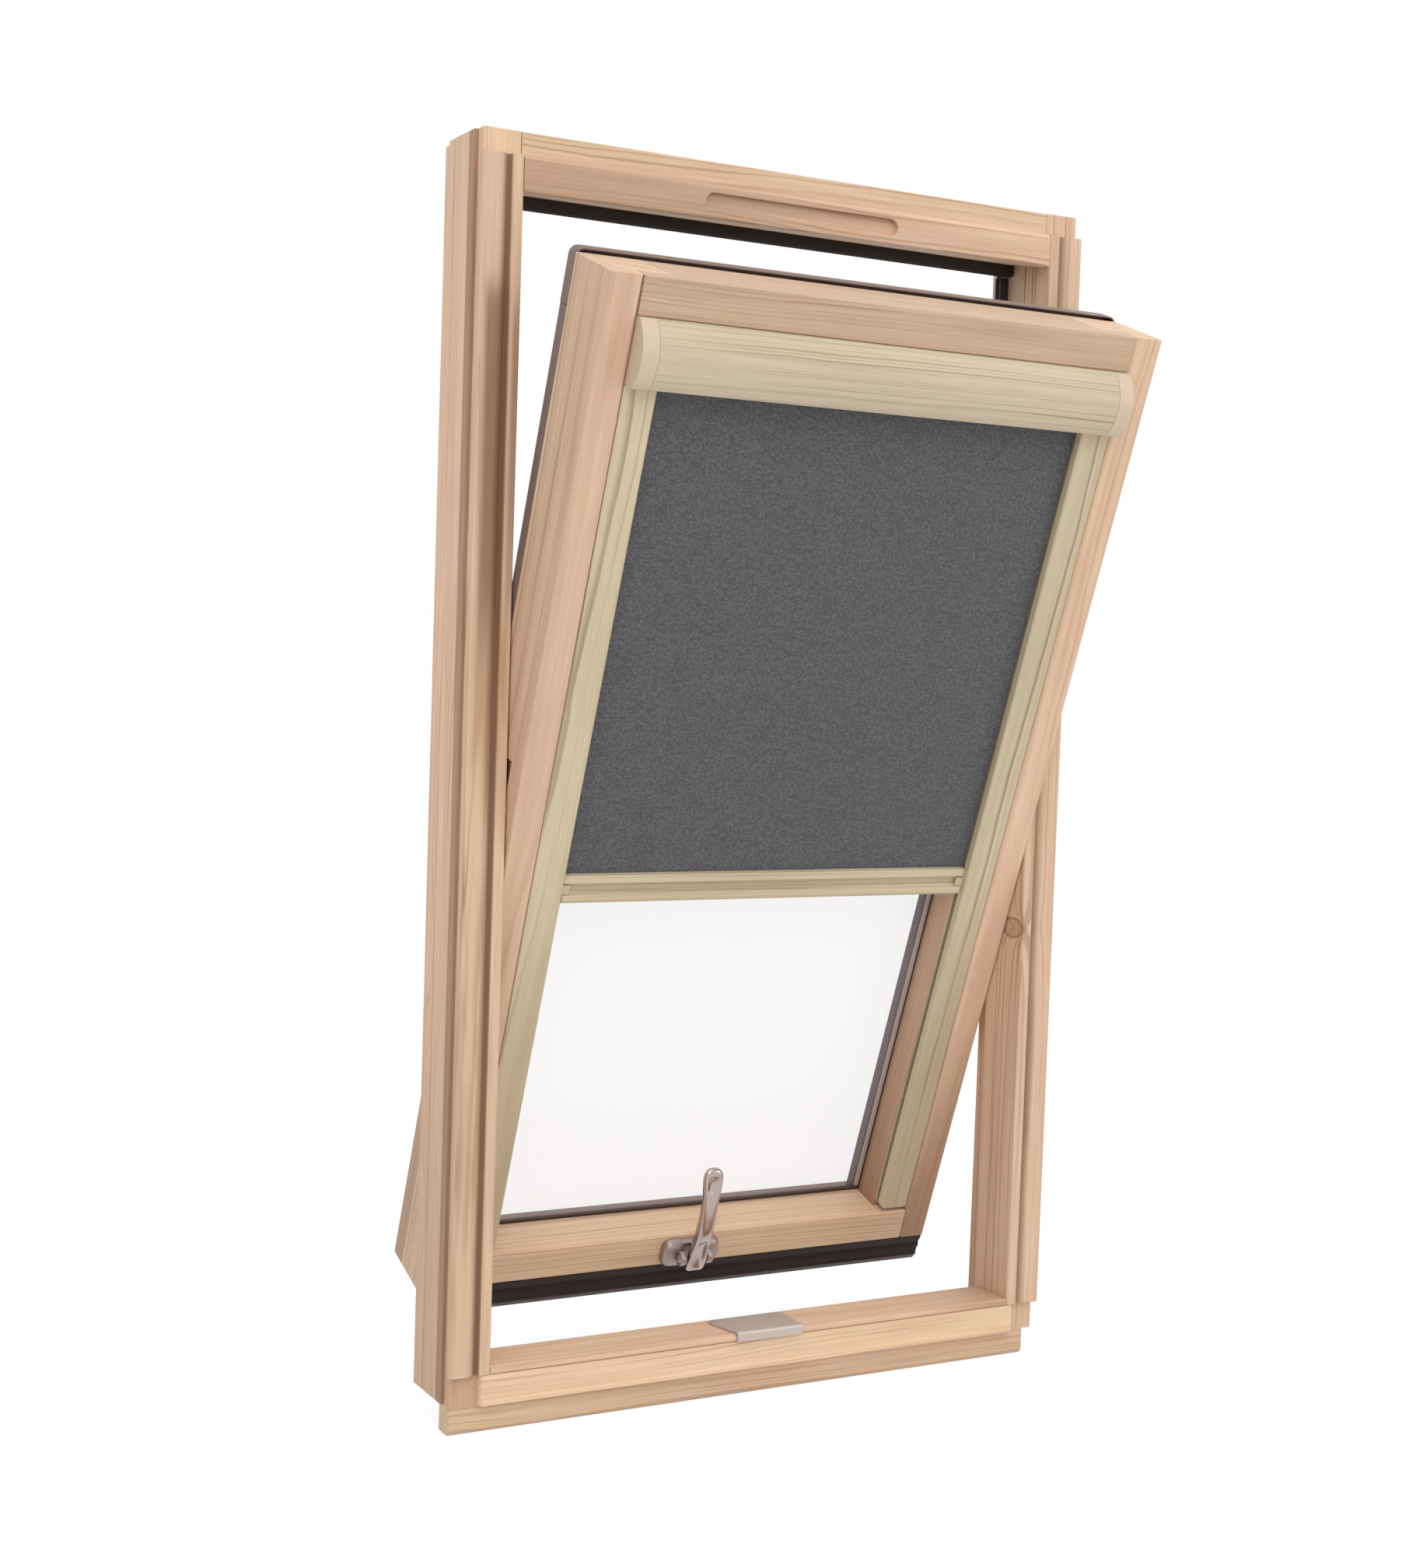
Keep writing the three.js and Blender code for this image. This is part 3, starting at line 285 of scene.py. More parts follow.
def ringRadius(spot, pith, grain, palette, swells):
    # how far from the pith, with lines that part round a hidden branch at each swell
    length, side, deep = spot
    fromSide, fromDeep = side + pith[0], deep + pith[1]
    radius = (fromSide * fromSide + fromDeep * fromDeep) ** 0.5
    radius = radius + grain["bend"] * palette["bend"] + grain["ripple"] * palette["ripple"]
    for where, level, rise, longReach, crossReach in swells:
        far = ((length - where) / longReach) ** 2 + ((deep - level) / crossReach) ** 2
        radius = radius + rise / (1 + far * far)
    return radius


def growKnot(finish, spot, ripple, where, size):
    # how dark a knot makes the wood, and how far it pushes the rings away
    length, side, deep = [axis - place for axis, place in zip(spot, where)]
    away = ((length * knotForm["along"]) ** 2 + side ** 2 + (deep * knotForm["deep"]) ** 2) ** 0.5
    away = away + ripple * size * knotForm["wobble"]
    rings = finish.sums("FRACT", away / (size * knotForm["ringGap"]))
    rim = away.band(*[size * share for share in knotForm["rim"]])
    core = 1 - away.step(*[size * share for share in knotForm["edge"]])
    dark = knotForm["darkness"]
    mask = core * (dark["core"] + rings * dark["rings"]) + rim * dark["rim"]
    return mask, size * knotForm["push"] / (1 + (away / size) ** 2)


def lateWood(finish, radius, calm, seed, gap, palette):
    # the dark part of each ring, stronger in some years and weak where the wood is calm
    years = finish.node("ShaderNodeTexNoise", {"noise_dimensions": "1D"}, {
        "W": radius * (figure["years"] / palette["ringGap"]) + seed, "Scale": 1.0, "Detail": 1.0})
    count = radius / (palette["ringGap"] * gap) + years * figure["drift"]
    phase, which = finish.sums("FRACT", count), finish.sums("FLOOR", count)
    weight = finish.node("ShaderNodeTexWhiteNoise", {"noise_dimensions": "1D"}, {"W": which + seed})
    least, calmLeast = figure["lateLeast"], figure["calmLeast"]
    late = phase.band(palette["onset"], *figure["lateEnd"]) * (least + weight * (1 - least))
    return late * (calmLeast + (1 - calmLeast) * calm.step(*figure["calm"]))


def woodColour(finish, grain, late, tone, palette):
    # peach and straw in patches, pale and dark streaks, and the late wood
    patch, flame = grain["patch"], grain["flame"]
    lean = figure["patchLean"] * (noiseMiddle - tone)
    straw = patch.step(*[edge + lean for edge in figure["patch"]])
    colour = finish.mix(straw, palette["peach"], palette["straw"])
    pale = (1 - flame).step(*figure["pale"]) * figure["paleShare"]
    colour = finish.mix(pale, colour, palette["pale"])
    dark = flame.step(*figure["flame"]) * palette["flame"] + late * palette["contrast"]
    dark = dark + grain["streak"].step(*figure["streak"]) * figure["streakShare"]
    dark = dark + patch.step(*figure["darkPatch"]) * figure["darkPatchShare"]
    return finish.mix(dark, colour, palette["late"])


def woodFinish(name, along, pith, seed, tone, tipped=False, gap=1.0, lightAndTone=1.0, palette=pine,
               knots=(), swells=(), paintedShades=(), shadedEnd=None):
    finish = Finish(name, figure["surface"])
    parts = finish.parts(finish.place(tipped))
    spot = [parts[along]] + [parts[i] for i in range(3) if i != along]
    grain = {kind: finish.grained(along, parts, seed, **form) for kind, form in streaks.items()}
    for kind in ("bend", "ripple"):
        grain[kind] = grain[kind] - noiseMiddle
    radius = ringRadius(spot, pith, grain, palette, swells)
    branches = []
    for where, size in knots:
        mask, push = growKnot(finish, spot, grain["ripple"], where, size)
        radius = radius + push
        branches.append(mask)
    late = lateWood(finish, radius, grain["calm"], seed, gap, palette)
    colour = woodColour(finish, grain, late, tone, palette)
    for mask in branches:
        colour = finish.mix(mask, colour, palette["knot"])
    for share, reaches in paintedShades:
        # painted shade where shade falls in a hollow, a groove or a recess, and a painted shadow on
        # the left moulding
        mask = share
        for axis, reach in reaches.items():
            mask = mask * parts[axis].band(*reach)
        colour = finish.mix(mask, colour, palette["shadeColour"])
    if shadedEnd:
        # painted shade: one end of the board is darker
        start, full, share = shadedEnd
        colour = finish.mix(spot[0].step(start, full) * share, colour, palette["shadeColour"])
    fibre, swing = grain["fibre"], figure["roughSwing"]
    # the board's own tone, and painted light and shade: boards lighter or darker as their faces are
    # lit
    shade = (figure["fibreLeast"] + fibre * figure["fibreShare"]) * lightAndTone
    finish.link("Base Color", finish.scaled(colour, shade))
    finish.link("Roughness", figure["rough"] - late * swing + fibre * swing)
    lateShare, fibreShare = figure["bumpShares"]
    finish.relief(late * lateShare + fibre * fibreShare, **figure["bump"])
    return finish.material


# Printed foil on the blind's own profiles: the same make-up, paler, with finer lines.
foil = {
    "peach": srgb(205, 190, 158),
    "straw": srgb(212, 197, 166),
    "pale": srgb(222, 208, 180),
    "late": srgb(132, 112, 78),
    # the colour of painted shade
    "shadeColour": srgb(150, 134, 104),
    "ringGap": 0.0036,
    "onset": 0.55,
    "contrast": 0.95,
    "flame": 0.08,
    "bend": 0.02,
    "ripple": 0.0026,
}

# Coats, plastics and metals: fine specks and a little wear. A rim is where the piece's outer
# part starts, and its colour. A band is from where to where in the height of the sash, and
# its colour.
belowAll = -1
coat = {
    "specks": dict(detail=3.0, rough=0.6),
    "wear": dict(scale=9.0, detail=3.0),
    "roughSwing": 0.06,
    "rimBlur": 0.0006,
    "bandBlur": 0.0004,
    "bumpDepth": 0.0003,
}


def speckled(name, colour, spread, scale, rough, metallic=0.0, bump=0.05, gloss=0.5, rim=None,
             bands=()):
    finish = Finish(name, {"Metallic": metallic, "Specular IOR Level": gloss})
    spot = finish.place()
    specks = finish.noise(spot, scale, **coat["specks"])
    wear = finish.noise(spot, **coat["wear"])
    shade = 1 - spread + specks * spread + wear * spread
    if rim:
        start, other = rim
        out = finish.sums("ABSOLUTE", finish.parts(spot)[0])
        colour = finish.mix(out.step(start, start + coat["rimBlur"]), colour, other)
    for below, above, other in bands:
        height = finish.parts(finish.place(tipped=True))[2]
        low, high, blur = below + pivotUp, above + pivotUp, coat["bandBlur"]
        colour = finish.mix(height.band(low, low + blur, high - blur, high), colour, other)
    finish.link("Base Color", finish.scaled(colour, shade))
    swing = coat["roughSwing"]
    finish.link("Roughness", rough - swing + specks * swing + wear * swing)
    finish.relief(specks, bump, coat["bumpDepth"])
    return finish.material


def dress(name, material):
    node = nodes[name]
    node.data.materials.clear()
    node.data.materials.append(material)


# Piece building

def addMesh(name, bm, material, smooth=True):
    mesh = bpy.data.meshes.new(name)
    bm.to_mesh(mesh)
    bm.free()
    piece = bpy.data.objects.new(name, mesh)
    scene.collection.objects.link(piece)
    mesh.materials.append(material)
    mesh.polygons.foreach_set("use_smooth", [smooth] * len(mesh.polygons))
    return piece


easing = {"weld": 1e-6, "flat": math.radians(0.6), "sharp": math.radians(28), "segments": 2}


def eased(name, material, body, edge):
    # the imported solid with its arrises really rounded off
    bm = bmesh.new()
    bm.from_mesh(nodes[name].data)
    bmesh.ops.remove_doubles(bm, verts=bm.verts, dist=easing["weld"])
    bmesh.ops.dissolve_limit(bm, angle_limit=easing["flat"], verts=bm.verts, edges=bm.edges)
    piece = addMesh(name + "_eased", bm, material)
    bevel = piece.modifiers.new("arris", "BEVEL")
    bevel.width = edge
    bevel.segments = easing["segments"]
    bevel.limit_method = "ANGLE"
    bevel.angle_limit = easing["sharp"]
    piece.modifiers.new("shading", "WEIGHTED_NORMAL").keep_sharp = True
    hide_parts(name)
    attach(piece, body)


# The boards. Each has its own pith and seed, so that no two show the same grain. A painted shade
# is a share and, on some axes, where it starts, is full, starts to fade and has gone: it darkens
# the wood where shade falls in a hollow, a groove or a recess, and lays a painted shadow on the
# left moulding. A swell is a place along and into the board, a rise, and a reach along and into
# it. A knot is a place along, across and into the board, and a size. A shaded end is painted
# shade along the board: where it starts and where it is full, and a share. The light and tone
# of a board scales its colour: partly its own tone, partly painted light and shade.
level, upright = 0, 2  # the axis that a board lies along
boardEdge = 0.0007
liningDepth = (-0.001, 0.0, 0.0139, 0.0143)
liningShade = {  # painted shade in the groove for the room's lining
    "left": (0.7, {0: (-0.332, -0.331, -0.3267, -0.3264), 1: liningDepth}),
    "right": (0.7, {0: (0.3264, 0.3267, 0.331, 0.332), 1: liningDepth}),
}
rightKnot = ((0.4496, 0.2905, -0.004), 0.012)  # it goes through the stile and its moulding
frameBoards = {
    "frame_stile_left": dict(
        along=upright, pith=(0.43, 0.03), seed=1.3, tone=0.4, lightAndTone=1.12, shadedEnd=(0.62, 0.1, 0.3),
        palette=pine | {"ripple": 0.007, "bend": 0.034}, paintedShades=(liningShade["left"],),
        swells=((0.92, 0.05, 0.007, 0.05, 0.02), (0.44, 0.045, 0.01, 0.07, 0.016),
                (0.31, 0.03, -0.008, 0.06, 0.018), (0.19, 0.05, 0.009, 0.05, 0.014))),
    "frame_stile_right": dict(
        along=upright, pith=(-0.235, 0.05), seed=2.9, tone=0.35, paintedShades=(liningShade["right"],),
        knots=(rightKnot,)),
    "frame_moulding_left": dict(
        along=upright, pith=(0.36, 0.09), seed=4.1, tone=0.7, palette=pine | {"flame": 0.62},
        # painted shade deepest in the cove, then a painted shadow on the upper part of the
        # moulding, over its face and, fainter, its inner flat
        paintedShades=((0.8, {0: (-0.3135, -0.3045, -0.3025, -0.3005)}),
                (0.78, {0: (-0.3275, -0.32, -0.302, -0.3), 2: (0.62, 0.8, 1.02, 1.062)}),
                (0.55, {0: (-0.299, -0.2955, -0.288, -0.287), 2: (0.7, 0.9, 1.0, 1.06)}))),
    "frame_moulding_right": dict(
        along=upright, pith=(-0.26, 0.09), seed=5.6, tone=0.6, knots=(rightKnot,),
        # painted shade deepest in the cove
        paintedShades=((0.7, {0: (0.3005, 0.3025, 0.3045, 0.3135)}),)),
    "frame_head": dict(along=level, pith=(0.1, -1.12), seed=6.2, tone=0.7),
    "frame_head_moulding": dict(along=level, pith=(0.07, -1.09), seed=7.8, tone=0.4, lightAndTone=1.06,
                                shadedEnd=(0.2, -0.16, 0.42)),
    "frame_sill": dict(along=level, pith=(0.08, 0.01), seed=8.4, tone=0.6, lightAndTone=1.12,
                       shadedEnd=(0.17, 0.29, 0.36)),
    "frame_sill_moulding": dict(along=level, pith=(0.09, 0.02), seed=9.9, tone=0.7, lightAndTone=1.2),
    "frame_bottom_lip": dict(along=level, pith=(0.06, 0.05), seed=10.5, tone=0.85),
}
for name, board in frameBoards.items():
    eased(name, woodFinish(name, **board), "frame", edge=boardEdge)
print("frame boards done")

sashBoards = {
    "sash_stile_left": dict(along=upright, pith=(0.33, 0.1), seed=11.2, tone=0.45),
    "sash_stile_right": dict(
        along=upright, pith=(-0.2, 0.12), seed=12.7, tone=0.5, lightAndTone=1.06, shadedEnd=(0.32, 0.03, 0.66),
        # painted shade on the reveal next to the pane
        paintedShades=((0.3, {0: (0.22, 0.221, 0.2262, 0.2275)}),)),
    "sash_top_rail": dict(along=level, pith=(0.13, -0.4), seed=13.6, tone=0.75, lightAndTone=0.84),
    "sash_bottom_rail": dict(along=level, pith=(0.12, 0.44), seed=14.9, tone=0.8, lightAndTone=1.1,
                             palette=pine | {"contrast": 0.5, "flame": 0.2}),
    "sash_back_strip_left": dict(along=upright, pith=(0.31, 0.07), seed=19.4, tone=0.4, lightAndTone=0.85,
                                 shadedEnd=(0.3, 0.05, 0.35)),
    "sash_back_strip_right": dict(along=upright, pith=(-0.22, 0.06), seed=20.6, tone=0.45,
                                  lightAndTone=0.85),
}
for name, board in sashBoards.items():
    finish = woodFinish(name, tipped=True, **board)
    eased(name, finish, "sash", edge=boardEdge)
print("sash boards done")

# Blind: foil wrapped cover, channels and hem bar, plain moulded ends.
coverFoil = woodFinish(
    "cover_foil", along=level, pith=(0.16, -0.36), seed=15.4, tone=0.5, tipped=True, gap=1.25,
    lightAndTone=0.92,
    palette=foil | {"peach": srgb(211, 195, 164), "straw": srgb(217, 202, 174), "contrast": 0.7},
    swells=((0.13, 0.42, 0.008, 0.05, 0.022), (-0.14, 0.405, -0.007, 0.06, 0.022),
            (0.02, 0.44, 0.004, 0.07, 0.03)))
barGrooveShade = (  # painted shade in the hem bar's grooves: how dark, and where in the height of the sash
    (0.25, (-0.0886, -0.0872, -0.0796, -0.0784)),
    (0.5, (-0.0882, -0.0876, -0.087, -0.0864)),
    (0.5, (-0.0803, -0.0798, -0.0792, -0.0786)),
    (0.4, (-0.0974, -0.0969, -0.0964, -0.0959)),
)
barFoil = woodFinish(
    "bar_foil", along=level, pith=(0.14, 0.12), seed=16.8, tone=0.5, tipped=True, gap=0.8,
    lightAndTone=1.02, palette=foil,
    paintedShades=[(share, {2: [pivotUp + up for up in heights]}) for share, heights in barGrooveShade])
closeFoil = foil | {"bend": 0.006, "ripple": 0.0009, "ringGap": 0.0021, "contrast": 0.85}
channelBoards = {
    "left": dict(pith=(0.28, 0.13), seed=17.9, lightAndTone=1.04),
    "right": dict(pith=(-0.2, 0.13), seed=18.3, lightAndTone=0.96),
}
channelFoils = {
    side: woodFinish(f"channel_foil_{side}", along=upright, tone=0.5, tipped=True,
                     palette=closeFoil, **board)
    for side, board in channelBoards.items()
}
moulded = speckled("moulded_beige", srgb(210, 192, 166), spread=0.03, scale=900.0, rough=0.5)
clipFoil = speckled("moulded_clip", srgb(202, 184, 150), spread=0.05, scale=900.0, rough=0.5)
rubber = speckled("gasket_rubber", srgb(42, 35, 32), spread=0.3, scale=500.0, rough=0.62, bump=0.1)
pile = speckled("brush_pile", srgb(142, 128, 98), spread=0.5, scale=1400.0, rough=0.95, bump=0.4)
taupe = speckled("taupe_coat", srgb(126, 107, 101), spread=0.06, scale=1500.0, rough=0.42,
                 metallic=0.2, bump=0.06)
bead = speckled("bead_coat", srgb(182, 167, 164), spread=0.06, scale=1500.0, rough=0.45,
                metallic=0.1, bands=((belowAll, -0.474, srgb(84, 68, 62)),))
# painted highlight: a paler band along the drip seal's ridge
brown = speckled("drip_coat", srgb(42, 29, 25), spread=0.12, scale=1500.0, rough=0.5, gloss=0.22,
                 bands=((-0.5464, -0.544, srgb(98, 82, 75)),))
grey = speckled("trim_metal", srgb(165, 160, 160), spread=0.08, scale=300.0, rough=0.36,
                metallic=0.85, bump=0.04)
# painted shade: the spacer is dark where its inner side lies in shade between the panes, and its
# own taupe from its front face out; darker along the bottom
spacerMetal = speckled("spacer_metal", srgb(88, 75, 70), spread=0.08, scale=700.0, rough=0.5,
                       metallic=0.1, rim=(0.21965, srgb(172, 157, 153)),
                       bands=((belowAll, -0.478, srgb(72, 58, 53)),))
nickel = speckled("satin_nickel", srgb(182, 168, 162), spread=0.07, scale=260.0, rough=0.19,
                  metallic=1.0, bump=0.02)
dullNickel = speckled("dull_nickel", srgb(166, 152, 146), spread=0.1, scale=420.0, rough=0.44,
                      metallic=0.9, bump=0.06)
sheetNickel = speckled("sheet_nickel", srgb(200, 187, 179), spread=0.05, scale=600.0, rough=0.42,
                       metallic=0.85)
tubeMetal = speckled("tube_metal", srgb(190, 192, 194), spread=0.08, scale=300.0, rough=0.35,
                     metallic=0.9, bump=0.03)

# The brush strips in the channels' slots: a woven back with tufts on it.
pileRow = {
    "foot": -0.469,
    "top": 0.389,
    "middle": 0.2274,
    "half": 0.0013,
    "back": -0.0736,
    "web": 0.0004,  # thickness of the woven back
    "gap": 0.0022,  # from tuft to tuft
    "rows": (-0.5, 0.5),  # where the tufts stand, as a share of half the width
    "tuft": dict(wide=0.0005, high=0.0009, reach=0.0019, lean=0.0005),
    "seeds": {"left": 47, "right": 31},
}


def pileStrip(side):
    way = 1 if side == "right" else -1
    bm = bmesh.new()
    dice = random.Random(pileRow["seeds"][side])
    middle, half, back = way * pileRow["middle"], pileRow["half"], pileRow["back"]
    root, tuft = back - pileRow["web"], pileRow["tuft"]

    def spot(x, y, z):
        return bm.verts.new(sashPlace @ Vector((x, y, z)))
    web = [spot(middle + dx, y, z) for z in (pileRow["foot"], pileRow["top"])
           for dx, y in ((-half, back), (half, back), (half, root), (-half, root))]
    bm.faces.new(web[:4])
    bm.faces.new(web[:3:-1])
    for i in range(4):
        bm.faces.new((web[i], web[i + 4], web[(i + 1) % 4 + 4], web[(i + 1) % 4]))
    for k in range(int((pileRow["top"] - pileRow["foot"]) / pileRow["gap"])):
        z = pileRow["foot"] + (k + 0.5) * pileRow["gap"]
        for row in pileRow["rows"]:
            x = middle + row * half
            lean = (dice.random() - 0.5) * tuft["lean"]
            foot = [spot(x + dx * tuft["wide"], root, z + dz * tuft["high"])
                    for dx, dz in ((-1, -1), (1, -1), (0, 1))]
            tip = spot(x + lean, back - tuft["reach"], z + lean)
            bm.faces.new(foot)
            for first, second in ((0, 1), (1, 2), (2, 0)):
                bm.faces.new((foot[second], foot[first], tip))
    bmesh.ops.recalc_face_normals(bm, faces=bm.faces)
    piece = addMesh(f"brush_{side}", bm, pile, smooth=False)
    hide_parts(f"blind_brush_{side}")
    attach(piece, "sash")


eased("blind_cover", coverFoil, "sash", edge=0.0004)
eased("blind_hem_bar", barFoil, "hem_bar", edge=0.0004)
dress("blind_back_rail", coverFoil)
for side in ("left", "right"):
    eased(f"blind_channel_{side}", channelFoils[side], "sash", edge=0.0005)
    eased(f"blind_cap_{side}", moulded, "sash", edge=0.0012)
    eased(f"blind_bar_clip_{side}", clipFoil, "hem_bar", edge=0.0003)
    dress(f"blind_plug_{side}", moulded)
    pileStrip(side)
dress("blind_tube", tubeMetal)
print("blind profiles done")

# The cloth, as two pieces: what hangs, and what is wound on the tube.
cloth = {
    "half": 0.2358,
    "top": 0.4205,
    "foot": -0.0707,
    "plane": -0.073,
    "thick": 0.0006,
    "hold": 0.006,  # of each end
    "columns": 48,
    "rollInner": 0.0111,
    "rollOuter": 0.0144,
    "rollCentre": (-0.088, 0.4205),
    "rollSteps": 40,
    "rollSlack": 0.00003,
    "rollSpare": 0.5,  # turns less than there is room for
    "rollFill": 0.9,  # of a turn's room
}
weave = {
    "surface": {"Specular IOR Level": 0.2, "Sheen Weight": 0.15, "Sheen Roughness": 0.5},
    "dark": srgb(76, 75, 78),
    "light": srgb(114, 113, 117),
    "rows": (60.0, 60.0, 900.0),  # how often a thread changes in a metre: across, out and up
    "fleck": dict(scale=420.0, detail=2.0, rough=0.7),
    "slub": dict(scale=1.0, detail=2.0, rough=0.6),
    "tone": dict(scale=12.0, detail=2.0),
    "fleckReach": (0.36, 0.68),
    "slubReach": (0.35, 0.75),
    "lightShares": dict(fleck=0.6, slub=0.2, tone=0.1),
    "rough": 0.84,
    "roughSwing": 0.08,
    "bumpShares": dict(fleck=0.6, slub=0.4),
    "bump": dict(strength=0.35, distance=0.0003),
}


def clothFinish():
    finish = Finish("blackout_cloth", weave["surface"])
    spot = finish.place(tipped=True)
    rows = finish.node("ShaderNodeMapping", {}, {"Vector": spot, "Scale": weave["rows"]})
    fleck, tone = [finish.noise(spot, **weave[kind]) for kind in ("fleck", "tone")]
    slub = finish.noise(rows, **weave["slub"])
    shares, bumps = weave["lightShares"], weave["bumpShares"]
    light = (fleck.step(*weave["fleckReach"]) * shares["fleck"]
             + slub.step(*weave["slubReach"]) * shares["slub"] + tone * shares["tone"])
    finish.link("Base Color", finish.mix(light, weave["dark"], weave["light"]))
    finish.link("Roughness", weave["rough"] + slub * weave["roughSwing"])
    finish.relief(fleck * bumps["fleck"] + slub * bumps["slub"], **weave["bump"])
    return finish.material


def hangCloth(material):
    # rows only near its two ends
    bm = bmesh.new()
    columns, top, foot = cloth["columns"], cloth["top"], cloth["foot"]
    upper, lower = top - cloth["hold"], foot + cloth["hold"]
    front = cloth["plane"] - cloth["thick"] / 2
    grid = [[bm.verts.new(sashPlace @ Vector((cloth["half"] * (2 * i / columns - 1), front, up)))
             for i in range(columns + 1)] for up in (top, upper, lower, foot)]
    for over, under in zip(grid, grid[1:]):
        for i in range(columns):
            bm.faces.new((over[i], under[i], under[i + 1], over[i + 1]))
    bm.normal_update()
    bmesh.ops.solidify(bm, geom=bm.faces[:], thickness=cloth["thick"])
    bmesh.ops.recalc_face_normals(bm, faces=bm.faces)
    piece = addMesh("blackout_cloth", bm, material, smooth=False)
    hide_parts("blind_fabric")
    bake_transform(piece)
    return piece


def windCloth(material):
    # the rest of it, in turns that end where the hanging cloth starts
    thick, steps = cloth["thick"], cloth["rollSteps"]
    turns = (cloth["rollOuter"] - cloth["rollInner"]) / thick - cloth["rollSpare"]
    count = int(turns * steps)
    bm = bmesh.new()
    outY, upZ = cloth["rollCentre"]
    rims = []
    for x in (-cloth["half"], cloth["half"]):
        inner, outer = [], []
        for k in range(count + 1):
            angle = 2 * math.pi * k / steps
            radius = cloth["rollInner"] + cloth["rollSlack"] + thick * angle / (2 * math.pi)
            for line, r in ((inner, radius), (outer, radius + thick * cloth["rollFill"])):
                spot = Vector((x, outY + r * math.cos(angle), upZ + r * math.sin(angle)))
                line.append(bm.verts.new(sashPlace @ spot))
        rims.append((inner, outer))
    (leftIn, leftOut), (rightIn, rightOut) = rims
    for k in range(count):
        bm.faces.new((leftIn[k], leftIn[k + 1], rightIn[k + 1], rightIn[k]))
        bm.faces.new((leftOut[k], rightOut[k], rightOut[k + 1], leftOut[k + 1]))
        bm.faces.new((leftIn[k], leftOut[k], leftOut[k + 1], leftIn[k + 1]))
        bm.faces.new((rightIn[k], rightIn[k + 1], rightOut[k + 1], rightOut[k]))
    for k in (0, count):
        bm.faces.new((leftIn[k], rightIn[k], rightOut[k], leftOut[k]))
    bmesh.ops.recalc_face_normals(bm, faces=bm.faces)
    piece = addMesh("wound_cloth", bm, material)
    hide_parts("blind_fabric_roll")
    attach(piece, "roller")
    return piece


clothLook = clothFinish()
hanging = hangCloth(clothLook)
wound = windCloth(clothLook)
print("cloth done")

# Glass, its gaskets and the metal round it.
pane = {
    "tint": srgb(246, 239, 240),
    "cover": 0.07,
    "rough": 0.04,
    "haze": dict(scale=3.0, detail=2.0),
    "hazeShare": 0.06,
}


def paneFinish():
    finish = Finish("pane", {"Roughness": pane["rough"], "Alpha": pane["cover"], "IOR": 1.5})
    haze = finish.noise(finish.place(tipped=True), **pane["haze"])
    shade = 1 - pane["hazeShare"] / 2 + haze * pane["hazeShare"]
    finish.link("Base Color", finish.scaled(pane["tint"], shade))
    return finish.material


paneLook = paneFinish()
for name in ("sash_pane_inner", "sash_pane_outer"):
    dress(name, paneLook)
dress("sash_spacer", spacerMetal)
eased("sash_glazing_gasket", rubber, "sash", edge=0.0003)
eased("sash_glazing_bead", bead, "sash", edge=0.0004)
for place in ("left", "right", "top", "bottom"):
    eased(f"sash_cladding_{place}", taupe, "sash", edge=0.0004)
eased("sash_outer_seal", rubber, "sash", edge=0.0004)
eased("sash_drip_profile", brown, "sash", edge=0.0005)
eased("sash_drip_seal", brown, "sash", edge=0.0006)
eased("frame_head_gasket", rubber, "frame", edge=0.0002)
dress("frame_trim_head", grey)
for side in ("left", "right"):
    eased(f"frame_gasket_{side}", rubber, "frame", edge=0.0005)
    dress(f"frame_trim_{side}", grey)
    dress(f"frame_pivot_plate_{side}", nickel)
    dress(f"sash_pivot_{side}", nickel)
eased("striker_plate", sheetNickel, "frame", edge=0.0009)
print("glass and metal done")

handle = {"aside": -0.007, "axis": -0.498}  # from the sash's middle, and how high its pin is

# The handle's base, cast in one: two lobes that carry the pin, a bridge at the top, and
# between them a thin floor that the lever's lower end swings down to.
base = {
    "middle": -0.4986,
    "back": -0.0863,
    "notch": 0.0117,  # half the room for the lever
    "lobe": dict(aside=0.0188, wide=0.0138, high=0.0152, proud=0.0112),
    "lobePower": 3.2,  # 2 is a round block, more is squarer
    "bridge": dict(wide=0.017, low=0.0074, high=0.0144, proud=0.0084),
    "floor": dict(wide=0.017, low=-0.0125, high=0.0118, proud=0.0026),
    "blockPower": 5.0,
    "subdivisions": 4,
    "voxel": 0.0006,
    "relax": dict(factor=0.5, iterations=5),
}


